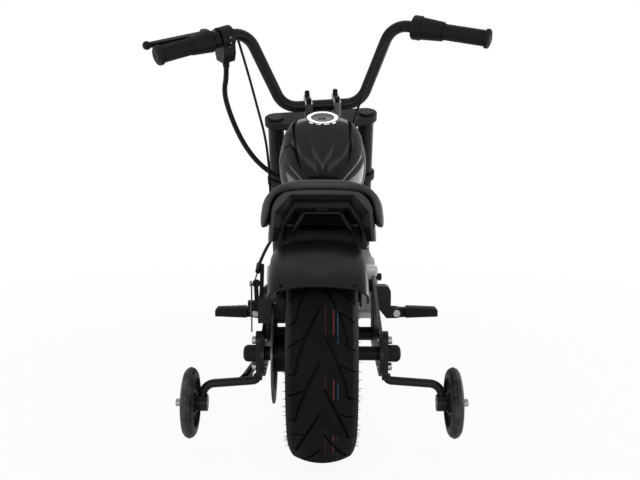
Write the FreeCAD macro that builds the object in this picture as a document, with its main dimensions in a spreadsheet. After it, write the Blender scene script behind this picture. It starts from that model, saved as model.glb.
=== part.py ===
"""A child's electric chopper motorbike with training wheels, as an assembly of separate pieces.

Frame: +Z up, +Y forward, +X to the rider's right. The origin lies on the ground, midway between
the two axles. All lengths are in millimetres.
"""

import math
import os

import FreeCAD
import Part
import Sketcher

Vector = FreeCAD.Vector
Rotation = FreeCAD.Rotation
Placement = FreeCAD.Placement

# Driving dimensions. Every name here becomes an alias of the sheet "Sizes".
SIZES = {
    # clearances shared by the whole assembly
    "running_gap": 0.05,
    "seat_gap": 0.2,
    "free_gap": 0.5,
    "overrun": 2,
    # stance
    "wheelbase": 740,
    "tyre_diameter": 300,
    "tyre_width": 94,
    # steering geometry
    "rake_angle": 30,
    "turned_angle": 7,
    "fork_offset": 25,
    "fork_half_spacing": 92,
    "fork_leg_diameter": 32,
    "fork_foot_drop": 20,
    "upper_yoke_height": 391,
    "lower_yoke_height": 252,
    "yoke_thickness": 14,
    "yoke_end_radius": 22,
    "yoke_waist_radius": 24,
    "stem_diameter": 25,
    "head_tube_diameter": 40,
    "head_cup_flange": 4,
    "head_cup_depth": 14,
    # tyre section and tread
    "rim_diameter": 176,
    "rim_width": 72,
    "rim_flange": 6,
    "rim_wall": 10,
    "tyre_shoulder_drop": 10,
    "tyre_shoulder_inset": 8,
    "tyre_side_depth": 34,
    "tyre_crown_wall": 10,
    "tyre_side_wall": 6,
    "tread_count": 14,
    "tread_groove_width": 4,
    "tread_groove_depth": 3.6,
    "tread_phase_angle": 2.4,
    # rear hub motor, axle and disc
    "axle_diameter": 14,
    "axle_half_length": 100,
    "axle_collar_diameter": 20,
    "hub_half_width": 34,
    "hub_wall": 5,
    "hub_neck_diameter": 52,
    "hub_neck_end": 66,
    "hub_boss_diameter": 40,
    "hub_boss_end": 42,
    "disc_diameter": 140,
    "disc_bore_diameter": 30,
    "disc_thickness": 2.5,
    "disc_hole_diameter": 8,
    "disc_hole_count": 18,
    "disc_bolt_circle": 44,
    "disc_bolt_count": 5,
    "stator_gap": 2,
    "stator_slot_count": 12,
    "stator_slot_width": 8,
    "stator_slot_depth": 16,
    # dropout plates
    "dropout_inner": 80,
    "dropout_thickness": 5,
    "dropout_boss_radius": 32,
    "dropout_front": 190,
    "dropout_front_high": 216,
    "dropout_window_radius": 20,
    # frame tubes
    "backbone_diameter": 38,
    "down_tube_diameter": 32,
    "rail_diameter": 24,
    "cross_tube_diameter": 22,
    "seat_node_back": 150,
    "seat_node_height": 300,
    "rail_height": 136,
    "rail_half_spacing": 50,
    "rail_front": 108,
    "rail_bend_radius": 60,
    # rear fender
    "fender_radius": 157,
    "fender_width": 132,
    "fender_side_offset": 5,
    "fender_thickness": 3,
    "fender_skirt": 34,
    "fender_shoulder_radius": 22,
    "fender_crown_rise": 6,
    "fender_rear_angle": 46,
    "fender_span_angle": 114,
    "fender_hole_diameter": 5,
    "fender_hole_half_spacing": 47,
    "fender_hole_margin": 6.5,
    # front fender
    "front_fender_radius": 160,
    "front_fender_width": 112,
    "front_fender_skirt": 26,
    "front_fender_shoulder_radius": 14,
    "front_fender_lead_angle": 52,
    "front_fender_span_angle": 92,
    # tank
    "tank_front": 114,
    "tank_length": 200,
    "tank_half_width": 81,
    "tank_top": 494,
    "tank_wall": 3,
    "tank_height": 118,
    "tank_fall": 102,
    "gauge_diameter": 62,
    "gauge_height": 15,
    "gauge_dial_diameter": 44,
    "gauge_back": 62,
    "gauge_sink": 11.5,
    "gauge_notch_count": 12,
    "gauge_notch_width": 5,
    "gauge_notch_depth": 2.5,
    "gauge_tilt_angle": 24,
    # seat
    "seat_front": 92,
    "seat_length": 252,
    "seat_half_width": 92,
    "seat_rise": 94,
    "seat_dip": 34,
    "seat_drop": 70,
    "seat_pad_thickness": 14,
    "seat_side_thickness": 10,
    "seat_pan_wall": 8,
    "seat_pan_crown": 20,
    "seat_pan_drop": 18,
    "seat_pan_inset": 4,
    "seat_recess_half_width": 66,
    "seat_mouth_depth": 34,
    "seat_boss_height": 3,
    "hoop_diameter": 12,
    "hoop_half_width": 46,
    "hoop_top_half_width": 28,
    "hoop_wire_diameter": 6,
    "hoop_back": 300,
    "hoop_bend_radius": 10,
    # engine cover, battery, controller
    "engine_half_width": 90,
    "engine_front": 98,
    "engine_back": 148,
    "engine_height": 92,
    "engine_wall": 3,
    "engine_edge_round": 10,
    "cover_boss_radius": 34,
    "cover_boss_height": 6,
    "cylinder_radius": 44,
    "cylinder_core_radius": 36,
    "cylinder_height": 74,
    "cylinder_lean_angle": 24,
    "cylinder_fin_count": 7,
    "cylinder_fin_thickness": 4,
    "battery_length": 150,
    "battery_width": 110,
    "battery_height": 70,
    # foot pegs
    "peg_forward": 200,
    "peg_height": 174,
    "peg_bracket_thickness": 7,
    "peg_bracket_depth": 24,
    "peg_bracket_out": 110,
    "left_peg_bracket_out": 97,
    "peg_bracket_rise": 44,
    "peg_length": 66,
    "peg_width": 26,
    "peg_thickness": 14,
    "peg_tip_thickness": 10,
    "peg_pin_diameter": 6,
    "peg_root_radius": 8,
    "peg_rib_count": 13,
    "peg_rib_height": 2,
    "peg_rib_width": 2.6,
    # kickstand
    "stand_forward": 150,
    "stand_height": 112,
    "stand_length": 98,
    "stand_diameter": 12,
    "stand_splay": 14,
    "stand_out": 100,
    "stand_foot_length": 26,
    "stand_bolt_diameter": 8,
    # training wheels
    "trainer_diameter": 100,
    "trainer_width": 24,
    "trainer_half_track": 190,
    "trainer_clearance": 28,
    "trainer_bore_diameter": 8,
    "trainer_hub_diameter": 28,
    "trainer_rim_diameter": 70,
    "trainer_window_count": 5,
    "arm_rod_diameter": 12,
    "arm_plate_thickness": 8,
    "arm_plate_width": 26,
    "arm_plate_rise": 19,
    "arm_plate_fall": 28,
    "arm_bolt_spacing": 38,
    "arm_bolt_diameter": 6,
    "arm_run_drop": 39,
    "arm_first_bend": 8,
    "arm_run_fall": 6,
    "arm_bend_radius": 18,
    # dome nuts
    "cap_diameter": 24,
    "cap_length": 18,
    "bolt_head_diameter": 11,
    "bolt_head_height": 6,
    # brake caliper
    "caliper_length": 42,
    "caliper_height": 34,
    "caliper_inner": 52,
    "caliper_outer": 90,
    "caliper_slot": 7,
    "caliper_low": 194,
    "caliper_arm_thickness": 5,
    "caliper_arm_length": 40,
    "caliper_arm_eye_radius": 6,
    "caliper_arm_root_radius": 9,
    "caliper_arm_tilt_angle": 28,
    "caliper_pin_diameter": 8,
    "caliper_knob_diameter": 16,
    "caliper_knob_length": 10,
    "barrel_diameter": 8,
    "barrel_length": 24,
    "wire_diameter": 2,
    # handlebar
    "bar_diameter": 22,
    "bar_wall": 2,
    "bar_standoff": 32,
    "bar_forward": 8,
    "bar_flat_half": 77,
    "bar_elbow_half": 140,
    "bar_elbow_forward": 34,
    "bar_rise": 147,
    "bar_end_half": 300,
    "bar_end_back": 62,
    "bar_end_climb": 2,
    "bar_bend_radius": 42,
    "riser_half_spacing": 28,
    "riser_width": 14,
    "riser_depth": 42,
    "riser_cap_wall": 3,
    "riser_bolt_diameter": 10,
    "riser_bolt_height": 11,
    # grips and controls, placed along the straight of the bar from the elbow corner
    "grip_end_wall": 4,
    "grip_outer_diameter": 31,
    "grip_sleeve_diameter": 42,
    "grip_flange_diameter": 36,
    "grip_rib_count": 14,
    "grip_rib_depth": 1,
    "grip_start": 80,
    "grip_sleeve_end": 121,
    "throttle_housing_start": 42,
    "throttle_housing_length": 18,
    "throttle_housing_diameter": 46,
    "throttle_sleeve_end": 102,
    "throttle_sleeve_diameter": 42,
    "pod_start": 36,
    "pod_length": 26,
    "pod_diameter": 40,
    "pod_drop": 46,
    "pod_depth": 34,
    "button_diameter": 6,
    "button_height": 5,
    "button_pitch_angle": 27,
    "button_travel": 1.5,
    "perch_start": 65,
    "perch_length": 11,
    "perch_reach": 36,
    "perch_height": 14,
    "lever_length": 112,
    "lever_width": 12,
    "lever_thickness": 8,
    "lever_ball_radius": 8,
    "lever_pin_diameter": 5,
    # headlight
    "lamp_diameter": 104,
    "lamp_depth": 62,
    "lamp_forward": 84,
    "lamp_height": 332,
    "lamp_rim_width": 7,
    "lamp_wall": 3,
    "lamp_stay_diameter": 14,
    # cords
    "brake_cable_diameter": 5,
    "loom_diameter": 10,
    "throttle_wire_diameter": 5,
}


class Size:
    """A length that carries both its number and the sheet expression that gives it."""

    def __init__(self, number, text):
        self.number = number
        self.text = text

    def __float__(self):
        return float(self.number)

    def _join(self, other, sign, number):
        other_text = other.text if isinstance(other, Size) else repr(other)
        return Size(number, f"({self.text} {sign} {other_text})")

    def __add__(self, other):
        return self._join(other, "+", self.number + float(other))

    def __sub__(self, other):
        return self._join(other, "-", self.number - float(other))

    def __mul__(self, other):
        return self._join(other, "*", self.number * float(other))

    def __truediv__(self, other):
        return self._join(other, "/", self.number / float(other))

    def __neg__(self):
        return Size(-self.number, f"(-{self.text})")

    __radd__ = __add__
    __rmul__ = __mul__

    def __rsub__(self, other):
        return (-self) + other


ZERO = Size(0.0, "0")


class Sheet:
    """The spreadsheet of driving dimensions, read as attributes."""

    def __init__(self, document):
        self.cells = document.addObject("Spreadsheet::Sheet", "Sizes")
        for row, (alias, number) in enumerate(SIZES.items(), start=1):
            self.cells.set(f"A{row}", alias)
            self.cells.set(f"B{row}", str(number))
            self.cells.setAlias(f"B{row}", alias)
        document.recompute()

    def __getattr__(self, alias):
        return Size(float(self.cells.get(alias)), f"Sizes.{alias}")


doc = FreeCAD.newDocument("kids_motorbike")
S = Sheet(doc)
sub_parts = {}

X_AXIS = Vector(1, 0, 0)
Y_AXIS = Vector(0, 1, 0)
Z_AXIS = Vector(0, 0, 1)
FULL_TURN = 360.0


def point(x, y, z):
    """A vector of three sizes or numbers."""
    return Vector(float(x), float(y), float(z))


def at(x, y, z, rotation=None):
    """A placement at a point, with an optional rotation."""
    return Placement(point(x, y, z), rotation or Rotation())


def turn(axis, degrees):
    """A rotation about an axis through the origin, in degrees."""
    return Rotation(axis, float(degrees))


def bind(item, name, size):
    """Gives a property its size, as an expression wherever it comes from the sheet."""
    if isinstance(size, Size):
        item.setExpression(name, size.text)
    else:
        setattr(item, name, size)


def finish(label, item, placement=None):
    """Registers an object as one sub-part, under its own label and at its own place."""
    item.Label = label
    if placement is not None:
        item.Placement = placement
    sub_parts[label] = item
    return item


# Solids from primitives


def cylinder(name, diameter, length, placement=None):
    """A cylinder that stands on the local XY plane."""
    item = doc.addObject("Part::Cylinder", name)
    bind(item, "Radius", diameter / 2)
    bind(item, "Height", length)
    item.Placement = placement or Placement()
    return item


def box(name, length, width, height, placement=None):
    """A box centred on the local Z axis, standing on the local XY plane."""
    item = doc.addObject("Part::Box", name)
    bind(item, "Length", length)
    bind(item, "Width", width)
    bind(item, "Height", height)
    centring = at(-(length / 2), -(width / 2), 0)
    item.Placement = (placement or Placement()).multiply(centring)
    return item


def ball(name, radius, placement=None):
    """A sphere about the local origin."""
    item = doc.addObject("Part::Sphere", name)
    bind(item, "Radius", radius)
    item.Placement = placement or Placement()
    return item


def fuse(name, items, refine=True):
    """One solid from several that meet."""
    item = doc.addObject("Part::MultiFuse", name)
    item.Shapes = items
    item.Refine = refine
    return item


def cut(name, base, tools):
    """A solid with one or more tools taken out of it."""
    tool = tools[0] if len(tools) == 1 else fuse(name + "_tools", tools)
    item = doc.addObject("Part::Cut", name)
    item.Base = base
    item.Tool = tool
    item.Refine = True
    return item


def group(name, items):
    """Several separate solids in one node."""
    item = doc.addObject("Part::Compound", name)
    item.Links = items
    return item


def feature(name, shape):
    """An object that holds a shape worked out from the sheet."""
    item = doc.addObject("Part::Feature", name)
    item.Shape = shape
    return item


# Solids from sketches


def origin_plane(body, role):
    """One of a body's own origin planes or axes."""
    return next(f for f in body.Origin.OriginFeatures if f.Role == role)


def arc_between(start, end, radius, side):
    """An arc from start to end; side 1 has its centre on the left of the way, -1 on the right."""
    chord = end - start
    half = chord.Length / 2
    rise = math.sqrt(max(radius * radius - half * half, 0.0))
    normal = Vector(-chord.y, chord.x, 0).normalize()
    centre = start + chord * 0.5 + normal * (rise * side)
    first, last = (start, end) if side > 0 else (end, start)
    first_turn = math.atan2(first.y - centre.y, first.x - centre.x)
    last_turn = math.atan2(last.y - centre.y, last.x - centre.x)
    if last_turn < first_turn:
        last_turn += 2 * math.pi
    circle = Part.Circle(centre, Z_AXIS, radius)
    return Part.ArcOfCircle(circle, first_turn, last_turn)


def add_outline(sketch, outline):
    """A closed outline of corners (x, y), or (x, y, radius, side) where an arc leads to the corner."""
    first = sketch.GeometryCount
    count = len(outline)
    corners = [point(c[0], c[1], 0) for c in outline]
    starts = []
    for index, start in enumerate(corners):
        target = (index + 1) % count
        corner = outline[target]
        if len(corner) == 2:
            sketch.addGeometry(Part.LineSegment(start, corners[target]))
            starts.append(1)
        else:
            sketch.addGeometry(arc_between(start, corners[target], float(corner[2]), corner[3]))
            starts.append(1 if corner[3] > 0 else 2)
    for index in range(count):
        target = (index + 1) % count
        this_end = (first + index, 3 - starts[index])
        next_start = (first + target, starts[target])
        sketch.addConstraint(Sketcher.Constraint("Coincident", *this_end, *next_start))
    for index in range(count):
        vertex = (-1, 1, first + index, starts[index])
        bind_constraint(sketch, "DistanceX", vertex, outline[index][0])
        bind_constraint(sketch, "DistanceY", vertex, outline[index][1])
        corner = outline[(index + 1) % count]
        if len(corner) == 4:
            bind_constraint(sketch, "Radius", (first + index,), corner[2])


def add_circle(sketch, x, y, radius):
    """A circle whose centre and radius follow their sizes."""
    index = sketch.addGeometry(Part.Circle(point(x, y, 0), Z_AXIS, float(radius)))
    bind_constraint(sketch, "DistanceX", (-1, 1, index, 3), x)
    bind_constraint(sketch, "DistanceY", (-1, 1, index, 3), y)
    bind_constraint(sketch, "Radius", (index,), radius)


def bind_constraint(sketch, kind, places, size):
    """A dimension of a sketch, tied to the sheet where its size comes from there."""
    number = sketch.addConstraint(Sketcher.Constraint(kind, *places, float(size)))
    name = f"d{number}"
    sketch.renameConstraint(number, name)
    if isinstance(size, Size):
        sketch.setExpression(f"Constraints.{name}", size.text)


def new_body(name):
    """An empty body."""
    return doc.addObject("PartDesign::Body", name)


def add_sketch(body, plane, outlines=(), circles=(), offset=None):
    """A sketch on one of the body's origin planes, or lifted off it by an offset."""
    sketch = body.newObject("Sketcher::SketchObject", body.Name + "_sketch")
    sketch.AttachmentSupport = [(origin_plane(body, plane), "")]
    sketch.MapMode = "FlatFace"
    if offset is not None:
        bind(sketch, "AttachmentOffset.Base.z", offset)
    for outline in outlines:
        add_outline(sketch, outline)
    for circle in circles:
        add_circle(sketch, *circle)
    return sketch


def add_pad(body, plane, outlines, length, circles=(), symmetric=False, backwards=False, offset=None):
    """A pad of a sketch: symmetric about its plane, or to one side."""
    pad = body.newObject("PartDesign::Pad", body.Name + "_pad")
    pad.Profile = add_sketch(body, plane, outlines, circles, offset)
    bind(pad, "Length", length)
    pad.Midplane = symmetric
    pad.Reversed = backwards
    return pad


def add_revolution(body, outline, angle=FULL_TURN):
    """A revolution about the body's Z axis of an outline given as (radius, height)."""
    spun = body.newObject("PartDesign::Revolution", body.Name + "_revolution")
    sketch = add_sketch(body, "XZ_Plane", [outline])
    spun.Profile = sketch
    spun.ReferenceAxis = (sketch, ["V_Axis"])
    bind(spun, "Angle", angle)
    return spun


def add_pocket(body, plane, outlines=(), circles=()):
    """A pocket through the whole body, both ways from its sketch."""
    pocket = body.newObject("PartDesign::Pocket", body.Name + "_pocket")
    pocket.Profile = add_sketch(body, plane, outlines, circles)
    pocket.Type = "ThroughAll"
    pocket.Midplane = True
    return pocket


def repeat_round(body, item, count):
    """Copies a feature evenly around the body's Z axis."""
    pattern = body.newObject("PartDesign::PolarPattern", body.Name + "_pattern")
    pattern.Originals = [item]
    pattern.Axis = (origin_plane(body, "Z_Axis"), [""])
    pattern.Angle = FULL_TURN
    bind(pattern, "Occurrences", count)
    body.Tip = pattern
    return pattern


def revolved(name, outline):
    """A body turned on a lathe: an outline of (radius, height) about the local Z axis."""
    body = new_body(name)
    add_revolution(body, outline)
    return body


# Swept tubes


def rounded_path(points, radii):
    """A wire of straight runs joined by tangent arcs, one radius for each inner point."""
    edges = []
    here = points[0]
    for index in range(1, len(points) - 1):
        before = (points[index - 1] - points[index]).normalize()
        after = (points[index + 1] - points[index]).normalize()
        half_turn = (math.pi - before.getAngle(after)) / 2
        reach = radii[index - 1] * math.tan(half_turn)
        start = points[index] + before * reach
        end = points[index] + after * reach
        towards_centre = (before + after).normalize()
        depth = radii[index - 1] / math.cos(half_turn) - radii[index - 1]
        middle = points[index] + towards_centre * depth
        if (start - here).Length > 1e-6:
            edges.append(Part.LineSegment(here, start).toShape())
        edges.append(Part.Arc(start, middle, end).toShape())
        here = end
    edges.append(Part.LineSegment(here, points[-1]).toShape())
    return Part.Wire(edges)


def tube(name, points, radii, diameter):
    """A round bar swept along straight runs and tangent arcs."""
    path = feature(name + "_path", rounded_path(points, [float(r) for r in radii]))
    ring = doc.addObject("Part::Circle", name + "_ring")
    bind(ring, "Radius", diameter / 2)
    ring.Placement = Placement(points[0], Rotation(Z_AXIS, points[1] - points[0]))
    sweep = doc.addObject("Part::Sweep", name)
    sweep.Sections = [ring]
    sweep.Spine = (path, [f"Edge{n + 1}" for n in range(len(path.Shape.Edges))])
    sweep.Solid = True
    sweep.Frenet = False
    return sweep


def bar(name, start, end, diameter):
    """A straight round bar between two points."""
    way = end - start
    length = Size(way.Length, repr(way.Length))
    return cylinder(name, diameter, length, Placement(start, Rotation(Z_AXIS, way)))


def dome_outline(radius, length, bore, round_share=0.6):
    """The half section of a dome nut with a blind bore, standing on the XY plane."""
    round_radius = radius * round_share
    return [
        (bore, ZERO),
        (radius, ZERO),
        (radius, length - round_radius),
        (radius - round_radius, length, round_radius, 1),
        (ZERO, length),
        (ZERO, length - round_radius),
        (bore, length - round_radius),
    ]


# Places shared by several pieces

tyre_radius = S.tyre_diameter / 2
rim_radius = S.rim_diameter / 2
axle_radius = S.axle_diameter / 2
rear_axle_y = -(S.wheelbase / 2)
AXLE_TURN = turn(Y_AXIS, 90)


def rear_axle_place(extra=None):
    """The rear axle's place: local Z runs along +X."""
    place = at(0, rear_axle_y, tyre_radius, AXLE_TURN)
    return place.multiply(Placement(Vector(), extra)) if extra else place


rake = math.radians(float(S.rake_angle))
# The steering axis passes behind the front axle by the fork offset, measured square to the axis.
steering_base = point(
    0,
    float(S.wheelbase) / 2 - float(S.fork_offset) * math.cos(rake),
    float(tyre_radius) - float(S.fork_offset) * math.sin(rake),
)
STEERING_STRAIGHT = Placement(steering_base, turn(X_AXIS, S.rake_angle))
STEERING = STEERING_STRAIGHT.multiply(Placement(Vector(), turn(Z_AXIS, S.turned_angle)))


def steering_point(height):
    """A point on the steering axis, by its height along the axis."""
    return STEERING_STRAIGHT.multVec(point(0, 0, height))


def in_steering(x, y, z, rotation=None):
    """A placement given in the steering frame: local Z is the steering axis, +Y is forward."""
    return STEERING.multiply(at(x, y, z, rotation))


# Wheels


def tyre_outline():
    """The tyre's section as (radius, width): bead, sidewall, shoulder and crown, then the inside."""
    half = S.tyre_width / 2
    bead = rim_radius + S.seat_gap
    bead_half = S.rim_width / 2 - S.rim_flange - S.seat_gap
    lip = rim_radius + S.rim_flange + S.seat_gap
    shoulder = tyre_radius - S.tyre_shoulder_drop
    shoulder_half = half - S.tyre_shoulder_inset
    widest = tyre_radius - S.tyre_side_depth
    drop = float(S.tyre_shoulder_drop)
    crown_half = float(shoulder_half)
    crown_radius = (crown_half * crown_half + drop * drop) / (2 * drop)
    side_radius = S.tyre_side_depth
    inner_crown = shoulder - S.tyre_crown_wall
    inner_half = half - S.tyre_side_wall
    inner_shoulder_half = shoulder_half - S.tyre_side_wall
    inner_bead_half = bead_half - S.tyre_side_wall
    return [
        (bead, -bead_half),
        (lip, -bead_half),
        (widest, -half, side_radius, 1),
        (shoulder, -shoulder_half, side_radius, 1),
        (shoulder, shoulder_half, crown_radius, 1),
        (widest, half, side_radius, 1),
        (lip, bead_half, side_radius, 1),
        (bead, bead_half),
        (bead, inner_bead_half),
        (widest, inner_half),
        (inner_crown, inner_shoulder_half),
        (inner_crown, -inner_shoulder_half),
        (widest, -inner_half),
        (bead, -inner_bead_half),
    ]


# One pitch of the tread on one side, unrolled: each groove runs through points given as a share of
# the tyre's half width and a share of the pitch.
TREAD_GROOVE_SHARES = (
    ((0.06, 0.0), (0.26, 0.28), (0.45, 0.58), (0.62, 0.92), (0.73, 1.28)),
    ((0.40, 0.52), (0.90, 0.72)),
    ((0.60, 1.16), (0.90, 1.29)),
)
# A groove narrows to this share of its width at both ends.
GROOVE_END_SHARE = 0.5


def tread_point(side, width_share, pitch_share):
    """A point on the tread, with the wheel's axis along local Z, and its outward direction."""
    across = float(S.tyre_width) / 2 * width_share
    shoulder_half = float(S.tyre_width) / 2 - float(S.tyre_shoulder_inset)
    radius = float(tyre_radius) - float(S.tyre_shoulder_drop) * (across / shoulder_half) ** 2
    pitch = FULL_TURN / float(S.tread_count)
    lag_share = 0.5 if side > 0 else 0.0
    angle = math.radians(float(S.tread_phase_angle) + pitch * (pitch_share + lag_share))
    outwards = Vector(math.cos(angle), math.sin(angle), 0)
    return outwards * radius + Z_AXIS * across * side, outwards


def groove_tool(side, shares):
    """The solid that cuts one groove: square sections set along the tread and joined by flat sides."""
    depth = float(S.tread_groove_depth)
    rise = float(S.overrun) * 2
    places = [tread_point(side, *pair) for pair in shares]
    last = len(places) - 1
    sections = []
    for index, (foot, outwards) in enumerate(places):
        way = places[min(index + 1, last)][0] - places[max(index - 1, 0)][0]
        width_share = GROOVE_END_SHARE if index in (0, last) else 1.0
        across = way.cross(outwards).normalize() * (float(S.tread_groove_width) / 2 * width_share)
        floor = foot - outwards * depth
        mouth = foot + outwards * rise
        corners = [floor - across, floor + across, mouth + across, mouth - across]
        sections.append(Part.makePolygon(corners + corners[:1]))
    return Part.makeLoft(sections, True, True)


def tread_grooves():
    """All groove tools of one tyre, both sides, with the wheel's axis along local Z."""
    tools = []
    for side in (-1, 1):
        grooves = [groove_tool(side, shares) for shares in TREAD_GROOVE_SHARES]
        pitch_tool = grooves[0].multiFuse(grooves[1:])
        for step in range(int(float(S.tread_count))):
            copy = pitch_tool.copy()
            copy.rotate(Vector(), Z_AXIS, FULL_TURN * step / float(S.tread_count))
            tools.append(copy)
    return feature("tread_grooves", Part.makeCompound(tools))


def rim_edge(side):
    """The corners of the rim's flange and bead seat on one side, from the inside outwards."""
    inner = rim_radius - S.rim_wall
    flange = rim_radius + S.rim_flange
    half = S.rim_width / 2
    seat = half - S.rim_flange
    corners = [(inner, half), (flange, half), (flange, seat), (rim_radius, seat)]
    return [(radius, width * side) for radius, width in corners]


def make_wheels():
    """Both road wheels, with the hub motor, the brake disc and the rear axle."""
    front_place = in_steering(0, S.fork_offset, 0, AXLE_TURN)
    # Both wheels carry the same tyre.
    tyre = cut("rear_tyre", revolved("tyre_blank", tyre_outline()), [tread_grooves()])
    doc.recompute()
    finish("front_tyre", feature("front_tyre", tyre.Shape.copy()), front_place)
    finish("rear_tyre", tyre, rear_axle_place())

    bore = axle_radius + S.running_gap
    neck = S.hub_neck_diameter / 2
    half = S.hub_half_width
    inside = half - S.hub_wall
    barrel = rim_radius - S.rim_wall
    cavity = barrel - S.hub_wall
    hub = new_body("rear_hub")
    left_edge = rim_edge(-1)
    right_edge = rim_edge(1)
    add_revolution(
        hub,
        [(bore, -S.hub_neck_end), (neck, -S.hub_neck_end), (neck, -half), (barrel, -half)]
        + left_edge
        + right_edge[::-1]
        + [(barrel, half), (S.hub_boss_diameter / 2, half)]
        + [(S.hub_boss_diameter / 2, S.hub_boss_end), (bore, S.hub_boss_end), (bore, inside)]
        + [(cavity, inside), (cavity, -inside), (bore, -inside)],
    )
    finish("rear_hub", hub, rear_axle_place())

    # The front rim is a plain moulded wheel: barrel, web with round windows, and hub.
    front_hub = S.hub_boss_diameter / 2
    web = S.hub_wall
    rim = new_body("front_rim")
    add_revolution(
        rim,
        [(bore, -half), (front_hub, -half), (front_hub, -web), (barrel, -web)]
        + left_edge
        + right_edge[::-1]
        + [(barrel, web), (front_hub, web), (front_hub, half), (bore, half)],
    )
    window = (barrel + front_hub) / 2
    pocket = add_pocket(rim, "XY_Plane", circles=[(window, ZERO, (barrel - front_hub) / 3)])
    repeat_round(rim, pocket, S.disc_bolt_count)
    finish("front_rim", rim, front_place)

    disc = new_body("brake_disc")
    disc_circles = [(ZERO, ZERO, S.disc_diameter / 2), (ZERO, ZERO, S.disc_bore_diameter / 2)]
    add_pad(disc, "XY_Plane", [], S.disc_thickness, circles=disc_circles)
    vent_circle = (S.disc_diameter + S.disc_bolt_circle) / 4 + S.disc_hole_diameter / 2
    vents = add_pocket(disc, "XY_Plane", circles=[(vent_circle, ZERO, S.disc_hole_diameter / 2)])
    repeat_round(disc, vents, S.disc_hole_count)
    disc_x = -(S.hub_neck_end + S.disc_thickness)
    finish("brake_disc", disc, at(disc_x, rear_axle_y, tyre_radius, AXLE_TURN))

    # The axle stays with the frame; its collars keep the wheel centred between the dropouts.
    collar = S.axle_collar_diameter / 2
    left_collar = S.hub_neck_end + S.disc_thickness + S.free_gap
    axle = revolved(
        "rear_axle",
        [
            (ZERO, -S.axle_half_length),
            (axle_radius, -S.axle_half_length),
            (axle_radius, -S.dropout_inner),
            (collar, -S.dropout_inner),
            (collar, -left_collar),
            (axle_radius, -left_collar),
            (axle_radius, S.hub_boss_end + S.free_gap),
            (collar, S.hub_boss_end + S.free_gap),
            (collar, S.dropout_inner),
            (axle_radius, S.dropout_inner),
            (axle_radius, S.axle_half_length),
            (ZERO, S.axle_half_length),
        ],
    )
    finish("rear_axle", axle, rear_axle_place())

    stator_radius = cavity - S.stator_gap
    stator_half = inside - S.stator_gap
    stator = new_body("motor_stator")
    ring = [(ZERO, ZERO, stator_radius), (ZERO, ZERO, axle_radius + S.seat_gap)]
    add_pad(stator, "XY_Plane", [], stator_half * 2, circles=ring, symmetric=True)
    slot_half = S.stator_slot_width / 2
    slot_foot = stator_radius - S.stator_slot_depth
    slot = [
        (slot_foot, -slot_half),
        (stator_radius + S.overrun, -slot_half),
        (stator_radius + S.overrun, slot_half),
        (slot_foot, slot_half),
    ]
    slots = add_pocket(stator, "XY_Plane", [slot])
    repeat_round(stator, slots, S.stator_slot_count)
    finish("motor_stator", stator, rear_axle_place())


def hull_outline(circles):
    """The outline that wraps round circles (x, y, radius), given counter-clockwise."""
    rings = [(point(x, y, 0), float(radius)) for x, y, radius in circles]
    arrivals = [None] * len(rings)
    leavings = [None] * len(rings)
    for index, (centre, radius) in enumerate(rings):
        following = (index + 1) % len(rings)
        next_centre, next_radius = rings[following]
        way = next_centre - centre
        lean = math.acos((radius - next_radius) / way.Length)
        normal = turn(Z_AXIS, -math.degrees(lean)).multVec(way.normalize())
        leavings[index] = centre + normal * radius
        arrivals[following] = next_centre + normal * next_radius
    outline = []
    for (centre, radius), arrival, leaving in zip(rings, arrivals, leavings):
        first = arrival - centre
        span = math.atan2(first.cross(leaving - centre).z, first.dot(leaving - centre))
        span = span % (2 * math.pi)
        middle = centre + turn(Z_AXIS, math.degrees(span / 2)).multVec(first)
        outline.append((arrival.x, arrival.y))
        outline.append((middle.x, middle.y, radius, 1))
        outline.append((leaving.x, leaving.y, radius, 1))
    return outline


def plate(name, plane, circles, length, holes=(), symmetric=False):
    """A flat plate wrapped round circles, with round holes through it."""
    body = new_body(name)
    add_pad(body, plane, [hull_outline(circles)], length, circles=holes, symmetric=symmetric)
    return body


# Frame


def backbone_height(y):
    """The height of the backbone's centre line at a place along the bike."""
    front = steering_point(head_middle)
    back = point(0, -S.seat_node_back, S.seat_node_height)
    share = (float(y) - back.y) / (front.y - back.y)
    return back.z + (front.z - back.z) * share


head_low = S.lower_yoke_height + S.yoke_thickness + S.free_gap
head_length = S.upper_yoke_height - S.free_gap - head_low
head_middle = head_low + head_length / 2
rail_top = S.rail_height + S.rail_diameter / 2
fender_outer = S.fender_radius + S.fender_thickness
cross_front_y = -S.dropout_front
TANK_POST_SHARE = 0.42


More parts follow.
